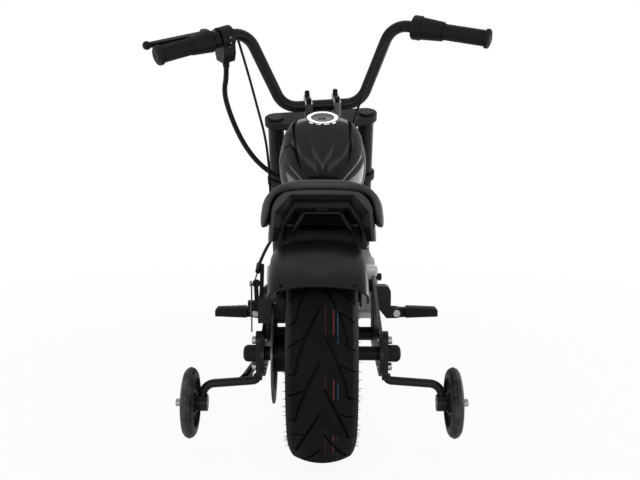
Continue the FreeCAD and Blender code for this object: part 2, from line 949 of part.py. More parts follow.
def make_frame():
    """The welded frame: head tube, backbone, down tube, rails, cross tubes and their tabs."""
    front = steering_point(head_middle)
    seat_node = point(0, -S.seat_node_back, S.seat_node_height)
    low_node = point(0, cross_front_y, S.rail_height)
    head_place = STEERING_STRAIGHT.multiply(at(0, 0, head_low))
    cup_size = S.head_tube_diameter + S.head_cup_flange * 2
    upper_cup_place = STEERING_STRAIGHT.multiply(at(0, 0, head_low + head_length - S.head_cup_depth))
    down_top = steering_point(head_low + S.down_tube_diameter * 1.6)
    down_foot = point(0, S.rail_front, S.rail_height)
    half = S.rail_half_spacing
    rail_path = [
        point(-half, cross_front_y, S.rail_height),
        point(-half, S.rail_front, S.rail_height),
        point(half, S.rail_front, S.rail_height),
        point(half, cross_front_y, S.rail_height),
    ]
    plate_inner = S.dropout_inner
    low_left = point(-plate_inner, cross_front_y, S.rail_height)
    low_right = point(plate_inner, cross_front_y, S.rail_height)
    high_left = point(-plate_inner, cross_front_y, S.dropout_front_high)
    high_right = point(plate_inner, cross_front_y, S.dropout_front_high)
    high_node = point(0, cross_front_y, S.dropout_front_high)
    hoop_span = S.hoop_half_width + S.hoop_diameter
    # The fender's tab points from the upper cross tube towards the rear axle.
    axle_point = point(0, rear_axle_y, tyre_radius)
    to_node = (high_node - axle_point).normalize()
    tab_end = axle_point + to_node * float(fender_outer + S.seat_gap)
    # The tank rests on a cross bar where it is widest, carried by a short post.
    post_y = tank_y(TANK_POST_SHARE)
    tank_half, tank_crest, tank_edge = tank_section(TANK_POST_SHARE)
    widest_share = TANK_RIB_SHARES[1][1]
    post_z = tank_edge + (tank_crest - tank_edge - float(S.tank_wall)) * widest_share
    post_foot = point(0, post_y, backbone_height(post_y))
    post_top = point(0, post_y, post_z)
    post_side = point(tank_half - float(S.tank_wall) - float(S.free_gap) * 2, 0, 0)
    tubes = [
        cylinder("head_tube", S.head_tube_diameter, head_length, head_place),
        cylinder("lower_cup", cup_size, S.head_cup_depth, head_place),
        cylinder("upper_cup", cup_size, S.head_cup_depth, upper_cup_place),
        bar("backbone", front, seat_node, S.backbone_diameter),
        bar("down_tube", down_top, down_foot, S.down_tube_diameter),
        bar("seat_tube", seat_node, low_node, S.cross_tube_diameter),
        tube("rails", rail_path, [S.rail_bend_radius / 2] * 2, S.rail_diameter),
        bar("low_cross_tube", low_left, low_right, S.cross_tube_diameter),
        bar("high_cross_tube", high_left, high_right, S.cross_tube_diameter),
        bar("high_brace", high_node, point(0, seat_tube_y(high_node.z), high_node.z), S.hoop_diameter),
        bar(
            "seat_cross_tube",
            seat_node - point(hoop_span, 0, 0),
            seat_node + point(hoop_span, 0, 0),
            S.cross_tube_diameter,
        ),
        bar("fender_tab", high_node, tab_end, S.hoop_diameter),
        bar("tank_post", post_foot, post_top, S.hoop_diameter),
        bar("tank_cross_bar", post_top - post_side, post_top + post_side, S.hoop_diameter),
    ]
    bore_length = head_length + S.overrun * 2
    bore_place = STEERING_STRAIGHT.multiply(at(0, 0, head_low - S.overrun))
    bore = cylinder("head_bore", S.stem_diameter + S.running_gap * 2, bore_length, bore_place)
    finish("main_frame", cut("main_frame", fuse("frame_tubes", tubes), [bore]))


def seat_tube_y(z):
    """The seat tube's centre line, by height."""
    foot = float(S.rail_height)
    share = (float(z) - foot) / (float(S.seat_node_height) - foot)
    return float(cross_front_y) + (float(cross_front_y) * -1 - float(S.seat_node_back)) * share


def make_dropouts():
    """The two side plates that hold the rear axle; the left one also carries the stand's lug."""
    bolt = S.arm_bolt_diameter / 2 + S.seat_gap
    offset = S.arm_bolt_spacing / 2
    front = S.cross_tube_diameter / 2 + S.dropout_thickness
    rear = rear_axle_y
    circles = [
        (rear, tyre_radius, S.dropout_boss_radius),
        (cross_front_y, S.rail_height, front),
        (cross_front_y, S.dropout_front_high, front),
    ]
    window_y = (rear + cross_front_y * 2) / 3
    window_z = (tyre_radius + S.rail_height + S.dropout_front_high) / 3
    holes = [
        (rear, tyre_radius, axle_radius + S.seat_gap),
        (rear, tyre_radius + offset, bolt),
        (rear, tyre_radius - offset, bolt),
        (window_y, window_z, S.dropout_window_radius),
    ]
    right = plate("right_dropout", "YZ_Plane", circles, S.dropout_thickness, holes)
    finish("right_dropout", right, at(S.dropout_inner, 0, 0))

    left = plate("left_dropout_plate", "YZ_Plane", circles, S.dropout_thickness, holes)
    left.Placement = at(-(S.dropout_inner + S.dropout_thickness), 0, 0)
    eye = S.stand_bolt_diameter / 2
    lug_circles = [
        (stand_y, S.stand_height, S.stand_bolt_diameter + S.seat_gap),
        (stand_y, S.rail_height + S.cross_tube_diameter / 2, S.stand_bolt_diameter * 2),
    ]
    lug_holes = [(stand_y, S.stand_height, eye + S.seat_gap)]
    lug_depth = S.stand_out - S.dropout_inner - S.stand_diameter / 2 - S.free_gap
    lug = plate("stand_lug", "YZ_Plane", lug_circles, lug_depth, lug_holes)
    lug.Placement = at(-(S.dropout_inner + lug_depth), 0, 0)
    finish("left_dropout", fuse("left_dropout", [left, lug]))


stand_y = rear_axle_y + S.stand_forward


# Bodywork

# The tank's stations: share of its length from the front, share of its half width, height of the
# crest above its rear end as a share of its fall, and depth as a share of its height.
TANK_STATION_SHARES = (
    (0.0, 0.66, 0.92, 0.78),
    (0.14, 0.86, 1.06, 0.98),
    (0.42, 1.0, 0.86, 1.0),
    (0.72, 0.82, 0.46, 0.80),
    (1.0, 0.42, 0.0, 0.46),
)
# A half section of the tank from its lower edge to its crest: shares of half width and of depth.
TANK_RIB_SHARES = ((0.86, 0.0), (1.0, 0.38), (0.93, 0.66), (0.81, 0.845), (0.60, 0.935))
# The raised spine along the crest: its share of the half width at the front and at the rear end,
# and the heights of its flank, its crease and its own round.
SPINE_WIDTH_SHARES = (0.40, 0.24)
SPINE_HEIGHT_SHARES = (0.953, 0.962, 0.99)
SPINE_ROUND_SHARE = 0.55


def between(rows, share):
    """The values of a table of stations at a share of the length, by straight lines."""
    for low, high in zip(rows, rows[1:]):
        if low[0] <= share <= high[0]:
            part = (share - low[0]) / (high[0] - low[0])
            return [a + (b - a) * part for a, b in zip(low[1:], high[1:])]
    raise ValueError("the share lies outside the table")


def tank_y(share):
    """A place along the tank, by its share of the length from the front."""
    return float(S.tank_front) - float(S.tank_length) * share


def tank_section(share):
    """The tank's half width, crest height and lower edge at a share of its length."""
    width, crest, depth = between(TANK_STATION_SHARES, share)
    crest_z = float(S.tank_top) - float(S.tank_fall) * (1 - crest)
    return float(S.tank_half_width) * width, crest_z, crest_z - float(S.tank_height) * depth


def tank_ribs(share):
    """A half section of the tank at a share of its length, from the lower edge over the spine."""
    front, rear = SPINE_WIDTH_SHARES
    spine = front + (rear - front) * share
    flank_height, crease_height, round_height = SPINE_HEIGHT_SHARES
    flank = (TANK_RIB_SHARES[-1][0] + spine) / 2
    crest = ((flank, flank_height), (spine, crease_height), (spine * SPINE_ROUND_SHARE, round_height))
    return TANK_RIB_SHARES + crest + ((0.0, 1.0),)


def arcs_through(places):
    """Arcs through every three points in turn, each starting where the last one ends."""
    starts = range(0, len(places) - 1, 2)
    return [Part.Arc(places[i], places[i + 1], places[i + 2]).toShape() for i in starts]


def tank_wire(share, inset, y, drop):
    """A closed section of the tank, drawn in by an inset and lengthened downwards by a drop."""
    half, crest, edge = tank_section(share)
    half = half - inset
    depth = crest - edge
    right = [Vector(half * w, y, edge + (depth - inset) * h) for w, h in tank_ribs(share)]
    left = [Vector(-p.x, p.y, p.z) for p in right]
    foot_right = Vector(right[0].x, y, edge - drop)
    foot_left = Vector(-right[0].x, y, edge - drop)
    edges = arcs_through(right) + arcs_through(left[::-1])
    if drop > 0:
        edges.append(Part.LineSegment(left[0], foot_left).toShape())
        edges.append(Part.LineSegment(foot_left, foot_right).toShape())
        edges.append(Part.LineSegment(foot_right, right[0]).toShape())
    else:
        edges.append(Part.LineSegment(left[0], right[0]).toShape())
    return Part.Wire(edges)


def gauge_place():
    """The gauge's place on the tank: local Z leaves its face, tipped back towards the rider."""
    share = (float(S.tank_front) - float(S.gauge_back)) / float(S.tank_length)
    crest = tank_section(share)[1]
    tip = turn(X_AXIS, S.gauge_tilt_angle)
    seat = point(0, S.gauge_back, crest - float(S.gauge_sink))
    return Placement(seat, tip)


def make_tank():
    """The hollow tank cover over the backbone, and the round gauge let into its crest."""
    wall = float(S.tank_wall)
    shares = [row[0] for row in TANK_STATION_SHARES]
    outer = Part.makeLoft([tank_wire(s, 0.0, tank_y(s), 0.0) for s in shares], True)
    inner_wires = []
    for s in shares:
        y = min(max(tank_y(s), tank_y(1.0) + wall), tank_y(0.0) - wall)
        inner_wires.append(tank_wire(s, wall, y, wall * 2))
    inner = Part.makeLoft(inner_wires, True)
    shell = feature("tank_shell", outer.cut(inner))
    # The shell is notched at both ends to straddle the backbone.
    front = steering_point(head_middle)
    back = point(0, -S.seat_node_back, S.seat_node_height)
    channel_width = S.backbone_diameter + S.free_gap * 2
    along = Placement(back, Rotation(X_AXIS, Vector(), front - back, "ZXY"))
    length = Size((front - back).Length, repr((front - back).Length))
    channel = box(
        "tank_channel",
        channel_width,
        S.tank_height,
        length,
        along.multiply(at(0, S.tank_height / 2 - channel_width / 2, 0)),
    )
    bore_length = S.gauge_height * 3
    bore = cylinder(
        "gauge_bore",
        S.gauge_diameter - S.gauge_notch_width * 2,
        bore_length,
        gauge_place().multiply(at(0, 0, -bore_length)),
    )
    seat = cylinder("gauge_seat", S.gauge_diameter + S.seat_gap * 2, bore_length, gauge_place())
    finish("tank_cover", cut("tank_cover", shell, [channel, bore, seat]))

    radius = S.gauge_diameter / 2
    dial = S.gauge_dial_diameter / 2
    lip = S.gauge_notch_depth
    bezel = new_body("gauge_bezel")
    spigot = radius - S.gauge_notch_width - S.seat_gap
    add_revolution(
        bezel,
        [
            (ZERO, -S.gauge_height / 2),
            (spigot, -S.gauge_height / 2),
            (spigot, S.seat_gap),
            (radius, S.seat_gap),
            (radius, S.gauge_height - lip),
            (radius - lip, S.gauge_height, lip, 1),
            (dial + S.seat_gap, S.gauge_height),
            (dial + S.seat_gap, S.gauge_height - lip * 2),
            (ZERO, S.gauge_height - lip * 2),
        ],
    )
    notch_circle = (radius + S.gauge_notch_width / 2 - S.gauge_notch_depth, ZERO, S.gauge_notch_width / 2)
    notch = bezel.newObject("PartDesign::Pocket", "gauge_notch")
    notch.Profile = add_sketch(bezel, "XY_Plane", circles=[notch_circle], offset=S.gauge_height)
    bind(notch, "Length", S.gauge_height / 2)
    repeat_round(bezel, notch, S.gauge_notch_count)
    finish("gauge_bezel", bezel, gauge_place())
    face_place = gauge_place().multiply(at(0, 0, S.gauge_height - lip * 2))
    finish("gauge_dial", cylinder("gauge_dial", S.gauge_dial_diameter, lip, face_place))


# The seat's stations: share of its length from the nose, share of its half width, drop of the crest
# below the rear crest as a share of the dip, and depth of the sides as a share of the drop.
SEAT_STATION_SHARES = (
    (0.0, 0.40, 0.62, 0.36),
    (0.10, 0.55, 0.74, 0.46),
    (0.32, 0.80, 1.0, 0.52),
    (0.58, 0.96, 0.84, 0.72),
    (0.84, 1.0, 0.26, 0.98),
    (1.0, 0.95, 0.0, 1.0),
)
# A half arch of the seat, from its lower edge to its crest: shares of half width and of depth.
SEAT_RIB_SHARES = (
    (0.98, 0.0),
    (0.97, 0.25),
    (0.94, 0.50),
    (0.86, 0.80),
    (0.66, 0.965),
    (0.34, 0.995),
    (0.0, 1.0),
)
# Corners of the pan's hollows, of the recess under its rear and of the recess's flared mouth, from the
# foot to the roof: shares of the half width and of the height.
PAN_HOLLOW_SHARES = ((0.98, 0.0), (0.90, 0.60), (0.62, 1.0))
PAN_RECESS_SHARES = ((1.0, 0.0), (0.84, 0.55), (0.60, 1.0))
PAN_MOUTH_SHARES = ((0.94, 0.0), (0.89, 0.61), (0.60, 0.94))
# The shares of the seat's length between which the hollows lie, with a bulkhead between the two.
PAN_HOLLOW_LENGTH_SHARES = (0.10, 0.32, 0.56)
PAN_RECESS_LENGTH_SHARES = (0.60, 0.84, 1.0)

seat_top = S.seat_node_height + S.seat_rise


def seat_y(share):
    """A place along the seat, by its share of the length from the nose."""
    return -float(S.seat_front) - float(S.seat_length) * share


def seat_section(share):
    """The seat's half width, crest height and lower edge at a share of its length."""
    width, dip, depth = between(SEAT_STATION_SHARES, share)
    crest = float(seat_top) - float(S.seat_dip) * dip
    return float(S.seat_half_width) * width, crest, crest - float(S.seat_drop) * depth


def pan_section(share):
    """The pan's half width, crest and foot under the pad, at a share of the seat's length."""
    half, crest, edge = seat_section(share)
    gap = float(S.seat_gap) * 4
    half = half - float(S.seat_side_thickness) - gap
    return half, crest - float(S.seat_pad_thickness) - gap, edge - float(S.seat_pan_drop) * share


def arch_edges(half, crest, edge, y):
    """Arcs over an arch, from its right foot to its left one."""
    right = [Vector(half * w, y, edge + (crest - edge) * h) for w, h in SEAT_RIB_SHARES]
    left = [Vector(-p.x, p.y, p.z) for p in right]
    return arcs_through(right) + arcs_through(left[::-1])


def line(start, end):
    """A straight edge."""
    return Part.LineSegment(start, end).toShape()


def pad_wire(share):
    """The pad's closed section: an arch-shaped band, thinner at its sides than at its crest."""
    half, crest, edge = seat_section(share)
    y = seat_y(share)
    outer = arch_edges(half, crest, edge, y)
    inner_half = half - float(S.seat_side_thickness)
    inner = arch_edges(inner_half, crest - float(S.seat_pad_thickness), edge, y)
    left_foot = line(outer[-1].lastVertex().Point, inner[-1].lastVertex().Point)
    right_foot = line(inner[0].firstVertex().Point, outer[0].firstVertex().Point)
    return Part.Wire(outer + [left_foot] + inner[::-1] + [right_foot])


def pan_wire(share):
    """The pan's outer section, closed along its foot; both ends stop short of the pad's."""
    half, crest, foot = pan_section(share)
    inset = float(S.seat_pan_inset)
    y = min(max(seat_y(share), seat_y(1.0) + inset), seat_y(0.0) - inset)
    arch = arch_edges(half, crest, foot, y)
    return Part.Wire(arch + [line(arch[-1].lastVertex().Point, arch[0].firstVertex().Point)])


def hollow_wire(half, roof, foot, y, shares):
    """A six-cornered section of a hollow that is open below."""
    right = [Vector(half * w, y, foot + (roof - foot) * h) for w, h in shares]
    right = [right[0] - Z_AXIS * float(S.seat_pan_drop)] + right
    corners = right + [Vector(-p.x, p.y, p.z) for p in right[::-1]]
    return Part.makePolygon(corners + corners[:1])


def recess_wire(share):
    """A section of the recess under the rear of the pan."""
    crest, foot = pan_section(share)[1:]
    roof = crest - float(S.seat_pan_crown)
    y = seat_y(share) if share < 1.0 else seat_y(1.0) - float(S.overrun)
    return hollow_wire(float(S.seat_recess_half_width), roof, foot, y, PAN_RECESS_SHARES)


def make_seat():
    """The padded saddle, its moulded pan with a recess at the rear, and the hoop that carries it."""
    shares = [row[0] for row in SEAT_STATION_SHARES]
    pad = Part.makeLoft([pad_wire(s) for s in shares], True)
    finish("seat_pad", feature("seat_pad", pad))

    block = feature("seat_pan_block", Part.makeLoft([pan_wire(s) for s in shares], True))
    wall = float(S.seat_pan_wall)
    hollow_wires = []
    for share in PAN_HOLLOW_LENGTH_SHARES:
        half, crest, foot = pan_section(share)
        hollow_wires.append(hollow_wire(half - wall, crest - wall, foot, seat_y(share), PAN_HOLLOW_SHARES))
    hollow = feature("seat_pan_hollow", Part.makeLoft(hollow_wires, True, True))
    recess_wires = [recess_wire(s) for s in PAN_RECESS_LENGTH_SHARES]
    recess = feature("seat_pan_recess", Part.makeLoft(recess_wires, True, True))
    # The recess widens towards the rear in flat facets.
    half, crest, foot = pan_section(1.0)
    deep = seat_y(1.0) + float(S.seat_mouth_depth)
    deep_half = float(S.seat_recess_half_width)
    deep_roof = crest - float(S.seat_pan_crown)
    mouth_wires = [
        hollow_wire(half, crest, foot, seat_y(1.0), PAN_MOUTH_SHARES),
        hollow_wire(deep_half, deep_roof, foot, deep, PAN_RECESS_SHARES),
    ]
    mouth = feature("seat_pan_mouth", Part.makeLoft(mouth_wires, True, True))
    # The bulkhead between the hollows clears the legs of the hoop.
    bulkhead_share = (PAN_HOLLOW_LENGTH_SHARES[-1] + PAN_RECESS_LENGTH_SHARES[0]) / 2
    notch = box(
        "seat_pan_notch",
        S.seat_recess_half_width * 2,
        S.seat_pan_crown,
        S.seat_node_height + S.seat_pan_crown,
        at(0, seat_y(bulkhead_share), 0),
    )
    shell = cut("seat_pan_shell", block, [hollow, recess, mouth, notch])
    # A boss under the recess's roof rests on the hoop.
    hoop_share = (float(S.hoop_back) - float(S.seat_front)) / float(S.seat_length)
    low_share, high_share = PAN_RECESS_LENGTH_SHARES[:2]
    low_roof = pan_section(low_share)[1] - float(S.seat_pan_crown)
    high_roof = pan_section(high_share)[1] - float(S.seat_pan_crown)
    part = (hoop_share - low_share) / (high_share - low_share)
    roof = low_roof + (high_roof - low_roof) * part
    hoop_top = roof - float(S.seat_boss_height)
    boss = box(
        "seat_boss",
        S.hoop_wire_diameter * 3,
        S.hoop_wire_diameter * 2,
        S.seat_boss_height + S.overrun,
        at(0, -S.hoop_back, hoop_top + float(S.seat_gap)),
    )
    finish("seat_base", fuse("seat_base", [shell, boss]))

    radius = S.hoop_wire_diameter / 2
    half = S.hoop_half_width
    narrow = half - S.hoop_diameter
    start = -(S.seat_node_back + S.cross_tube_diameter / 2 + S.free_gap)
    leg_z = S.seat_node_height + S.hoop_diameter
    knee = S.hoop_top_half_width
    path = [
        point(-narrow, start, S.seat_node_height),
        point(-half, -S.hoop_back, leg_z),
        point(-knee, -S.hoop_back, hoop_top - float(radius)),
        point(knee, -S.hoop_back, hoop_top - float(radius)),
        point(half, -S.hoop_back, leg_z),
        point(narrow, start, S.seat_node_height),
    ]
    finish("seat_hoop", tube("seat_hoop", path, [S.hoop_bend_radius] * 4, S.hoop_wire_diameter))


def fender_outline(radius, width, skirt, shoulder):
    """The section of a fender as (radius, width): an arched crown, round shoulders and skirts."""
    wall = S.fender_thickness
    half = width / 2
    crown = half - shoulder
    edge = radius - S.fender_crown_rise
    outer = edge + wall
    rise = float(S.fender_crown_rise)
    bow = (float(crown) ** 2 + rise ** 2) / (2 * rise)
    foot = outer - shoulder
    inner_shoulder = shoulder - wall
    return [
        (radius - skirt, -half),
        (foot, -half),
        (outer, -crown, shoulder, 1),
        (outer, crown, bow, 1),
        (foot, half, shoulder, 1),
        (radius - skirt, half),
        (radius - skirt, half - wall),
        (foot, half - wall),
        (edge, crown, inner_shoulder, -1),
        (edge, -crown, bow, -1),
        (foot, -(half - wall), inner_shoulder, -1),
        (radius - skirt, -(half - wall)),
    ]


def make_fenders():
    """The rear fender on the frame and the shorter front one between the fork legs."""
    rear = new_body("rear_fender_shell")
    outline = fender_outline(S.fender_radius, S.fender_width, S.fender_skirt, S.fender_shoulder_radius)
    add_revolution(rear, outline, S.fender_span_angle)
    front_edge = FULL_TURN * 3 / 4 - float(S.fender_rear_angle) - float(S.fender_span_angle)
    # The fender sits a little to the left of the wheel, away from the drive side.
    rear.Placement = at(-S.fender_side_offset, 0, 0).multiply(rear_axle_place(turn(Z_AXIS, front_edge)))
    # Two small holes near the lower rear edge, for a number plate or reflector.
    hole_turn = math.radians(float(S.fender_rear_angle)) + float(S.fender_hole_margin / fender_outer)
    holes = []
    for side in (-1, 1):
        direction = Vector(0, -math.cos(hole_turn), math.sin(hole_turn))
        foot = point(S.fender_hole_half_spacing * side - S.fender_side_offset, rear_axle_y, tyre_radius)
        holes.append(
            cylinder(
                "fender_hole",
                S.fender_hole_diameter,
                fender_outer + S.overrun,
                Placement(foot, Rotation(Z_AXIS, direction)),
            )
        )
    finish("rear_fender", cut("rear_fender", rear, holes))

    front = new_body("front_fender_shell")
    outline = fender_outline(
        S.front_fender_radius,
        S.front_fender_width,
        S.front_fender_skirt,
        S.front_fender_shoulder_radius,
    )
    add_revolution(front, outline, S.front_fender_span_angle)
    start = FULL_TURN / 2 - float(S.front_fender_lead_angle)
    place = at(0, S.fork_offset, 0, AXLE_TURN)
    front.Placement = place.multiply(Placement(Vector(), turn(Z_AXIS, start)))
    # Two stays reach from the skirts to the fork legs.
    stay_z = S.front_fender_radius - S.front_fender_skirt / 2
    stay_start = S.front_fender_width / 2 - S.fender_thickness / 2
    leg_side = S.fork_half_spacing - slider_radius - S.seat_gap
    items = [front]
    for side in (-1, 1):
        start_point = point(stay_start * side, S.fork_offset, stay_z)
        end_point = point(leg_side * side, S.fork_offset, stay_z)
        items.append(bar("fender_stay", start_point, end_point, S.hoop_diameter))
    finish("front_fender", fuse("front_fender", items), STEERING)


# Engine cover, cylinders and battery


engine_low = rail_top + S.seat_gap
engine_high = engine_low + S.engine_height


def engine_circles(inset):
    """The engine cover's rounded outline as four circles in (forward, height)."""
    low_radius = S.engine_edge_round * 2
    high_radius = S.engine_edge_round * 3
    front = S.engine_front
    back = -S.engine_back
    return [
        (front - low_radius, engine_low + low_radius, low_radius - inset),
        (front - high_radius, engine_high - high_radius, high_radius - inset),
        (back + high_radius, engine_high - high_radius, high_radius - inset),
        (back + low_radius, engine_low + low_radius, low_radius - inset),
    ]


CRANK_SHARES = ((0.62, 0.5), (0.26, 0.52))


def make_engine():
    """Two hollow engine covers that meet on the centre line, two finned cylinders and the battery."""
    for label, side in (("right_engine_cover", 1), ("left_engine_cover", -1)):
        cover = new_body(label)
        backwards = side < 0
        add_pad(cover, "YZ_Plane", [hull_outline(engine_circles(ZERO))], S.engine_half_width, backwards=backwards)
        for along_share, up_share in CRANK_SHARES:
            y = S.engine_front - (S.engine_front + S.engine_back) * along_share
            z = engine_low + (engine_high - engine_low) * up_share
            add_pad(
                cover,
                "YZ_Plane",
                [],
                S.cover_boss_height,
                circles=[(y, z, S.cover_boss_radius)],
                backwards=backwards,
                offset=S.engine_half_width * side,
            )
        hollow = cover.newObject("PartDesign::Pocket", label + "_hollow")
        hollow.Profile = add_sketch(cover, "YZ_Plane", [hull_outline(engine_circles(S.engine_wall))])
        bind(hollow, "Length", S.engine_half_width - S.engine_wall)
        hollow.Reversed = side > 0
        finish(label, cover)

    # Fins and core of one cylinder, from its foot up.
    pitch = S.cylinder_height / S.cylinder_fin_count
    corners = [(ZERO, ZERO), (S.cylinder_core_radius, ZERO)]
    for fin in range(int(float(S.cylinder_fin_count))):
        top = pitch * (fin + 1)
        foot = top - S.cylinder_fin_thickness
        corners += [(S.cylinder_core_radius, foot), (S.cylinder_radius, foot), (S.cylinder_radius, top)]
        corners.append((S.cylinder_core_radius, top))
    corners = corners[:-1]
    corners.append((ZERO, S.cylinder_height))
    middle = (S.engine_front - S.engine_back) / 2
    cylinders = []
    for side in (-1, 1):
        finned = revolved("finned_cylinder", corners)
        lean = turn(X_AXIS, -float(S.cylinder_lean_angle) * side)
        finned.Placement = at(0, middle + S.cylinder_core_radius * side, engine_high - pitch * 2, lean)
        cylinders.append(finned)
    below = box(
        "below_cylinders",
        S.cylinder_radius * 4,
        S.engine_front * 4,
        S.cylinder_height,
        at(0, middle, engine_high - S.cylinder_height),
    )
    front_half = box(
        "front_half",
        S.cylinder_radius * 4,
        S.engine_front * 2,
        S.cylinder_height * 4,
        at(0, middle + S.engine_front - S.free_gap / 2, engine_high - S.cylinder_height),
    )
    back_half = box(
        "back_half",
        S.cylinder_radius * 4,
        S.engine_front * 2,
        S.cylinder_height * 4,
        at(0, middle - S.engine_front + S.free_gap / 2, engine_high - S.cylinder_height),
    )
    rear_cylinder = cut("rear_cylinder", cylinders[0], [below, front_half])
    below_again = box(
        "below_front_cylinder",
        S.cylinder_radius * 4,
        S.engine_front * 4,
        S.cylinder_height,
        at(0, middle, engine_high - S.cylinder_height),
    )
    front_cylinder = cut("front_cylinder", cylinders[1], [below_again, back_half])
    finish("engine_cylinders", group("engine_cylinders", [rear_cylinder, front_cylinder]))

    battery_place = at(0, middle, engine_low + S.engine_wall + S.seat_gap)
    battery = box("battery_pack", S.battery_width, S.battery_length, S.battery_height, battery_place)
    finish("battery_pack", battery)


# Foot pegs and kickstand


peg_y = rear_axle_y + S.wheelbase / 2 - S.peg_forward
plate_outer = S.dropout_inner + S.dropout_thickness
peg_out = {1: S.peg_bracket_out, -1: S.left_peg_bracket_out}


def mirrored_place(side):
    """Unchanged for the right side, turned half round the vertical for the left side."""
    return Placement() if side > 0 else Placement(Vector(), turn(Z_AXIS, 180))


def make_pegs():
    """Folding foot pegs on forged brackets, one on each dropout plate."""
    wall = S.peg_bracket_thickness
    top = S.peg_height + S.peg_bracket_rise
    foot = S.peg_height + wall * 2
    low = S.peg_height - S.peg_root_radius
    corner = wall + wall / 2
    ear = S.peg_root_radius * 2
    root_half = S.peg_thickness / 2
    for label, side in (("right", 1), ("left", -1)):
        out = peg_out[side]
        pin_x = out + S.peg_root_radius + S.free_gap * 2
        outline = [
            (plate_outer, foot),
            (out - wall, low),
            (out, low),
            (out, top - corner),
            (out - corner, top, corner, 1),
            (plate_outer, top),
        ]
        bracket = new_body(label + "_bracket_strap")
        add_pad(bracket, "XZ_Plane", [outline], S.peg_bracket_depth, symmetric=True)
        items = [bracket]
        for flank in (-1, 1):
            ear_y = (root_half + S.free_gap + wall / 4) * flank
            ear_plate = new_body(label + "_bracket_ear")
            ear_circles = [
                (out - wall / 2, S.peg_height, S.peg_root_radius),
                (pin_x, S.peg_height, S.peg_root_radius),
            ]
            pin_hole = [(pin_x, S.peg_height, S.peg_pin_diameter / 2 + S.seat_gap)]
            add_pad(ear_plate, "XZ_Plane", [hull_outline(ear_circles)], wall / 2, circles=pin_hole, symmetric=True)
            ear_plate.Placement = at(0, ear_y, 0)
            items.append(ear_plate)
        place = at(0, peg_y, 0).multiply(mirrored_place(side))
        finish(label + "_peg_bracket", fuse(label + "_peg_bracket", items), place)

        peg = new_body(label + "_peg_bar")
        root_circles = [(ZERO, ZERO, S.peg_root_radius - S.free_gap), (ear, ZERO, S.peg_thickness / 2)]
        pin_hole = [(ZERO, ZERO, S.peg_pin_diameter / 2 + S.running_gap)]
        add_pad(peg, "XZ_Plane", [hull_outline(root_circles)], S.peg_thickness, circles=pin_hole, symmetric=True)
        add_pad(peg, "XZ_Plane", [peg_blade_outline()], S.peg_width, symmetric=True)
        peg_place = at(0, peg_y, 0).multiply(mirrored_place(side)).multiply(at(pin_x, 0, S.peg_height))
        finish(label + "_peg", peg, peg_place)


def peg_blade_outline():
    """The tread of a foot peg in (outwards, up): tapered, with a row of ribs on top."""
    start = S.peg_root_radius + S.peg_thickness / 2
    end = S.peg_length
    root = S.peg_thickness / 2
    tip = S.peg_tip_thickness / 2
    count = int(float(S.peg_rib_count))
    outline = [(start, -root), (end, -tip), (end, tip)]
    for rib in range(count):
        centre_share = 1 - (rib + 1) / (count + 1)
        centre = start + (end - start) * centre_share
        surface = root + (tip - root) * centre_share
        half = S.peg_rib_width / 2
        outline += [
            (centre + half, surface),
            (centre + half, surface + S.peg_rib_height),
            (centre - half, surface + S.peg_rib_height),
            (centre - half, surface),
        ]
    outline.append((start, root))
    return outline


def make_kickstand():
    """The side stand, folded back along the left dropout."""
    out = -S.stand_out
    half = S.stand_diameter / 2
    eye = plate(
        "stand_eye",
        "YZ_Plane",
        [(-S.stand_diameter, ZERO, half), (ZERO, ZERO, S.stand_bolt_diameter)],
        S.stand_diameter,
        [(ZERO, ZERO, S.stand_bolt_diameter / 2 + S.running_gap)],
        symmetric=True,
    )
    knee = point(0, -S.stand_diameter, 0)
    elbow = point(0, -S.stand_diameter * 3, -S.overrun)
    foot = point(-S.stand_splay, -S.stand_length, -S.stand_diameter)
    rod = tube("stand_rod", [knee, elbow, foot], [S.stand_diameter * 3], S.stand_diameter)
    pad_outline = [
        (foot.x, foot.y, S.stand_diameter * 0.75),
        (foot.x + float(half) / 2, foot.y + float(S.stand_foot_length), S.stand_diameter / 2),
    ]
    foot_pad = new_body("stand_foot")
    add_pad(foot_pad, "XY_Plane", [hull_outline(pad_outline)], half)
    foot_pad.Placement = at(0, 0, foot.z - float(half))
    place = at(out, stand_y, S.stand_height)
    finish("kickstand", fuse("kickstand", [eye, rod, foot_pad]), place)


# Training wheels


trainer_radius = S.trainer_diameter / 2
trainer_z = S.trainer_clearance + trainer_radius


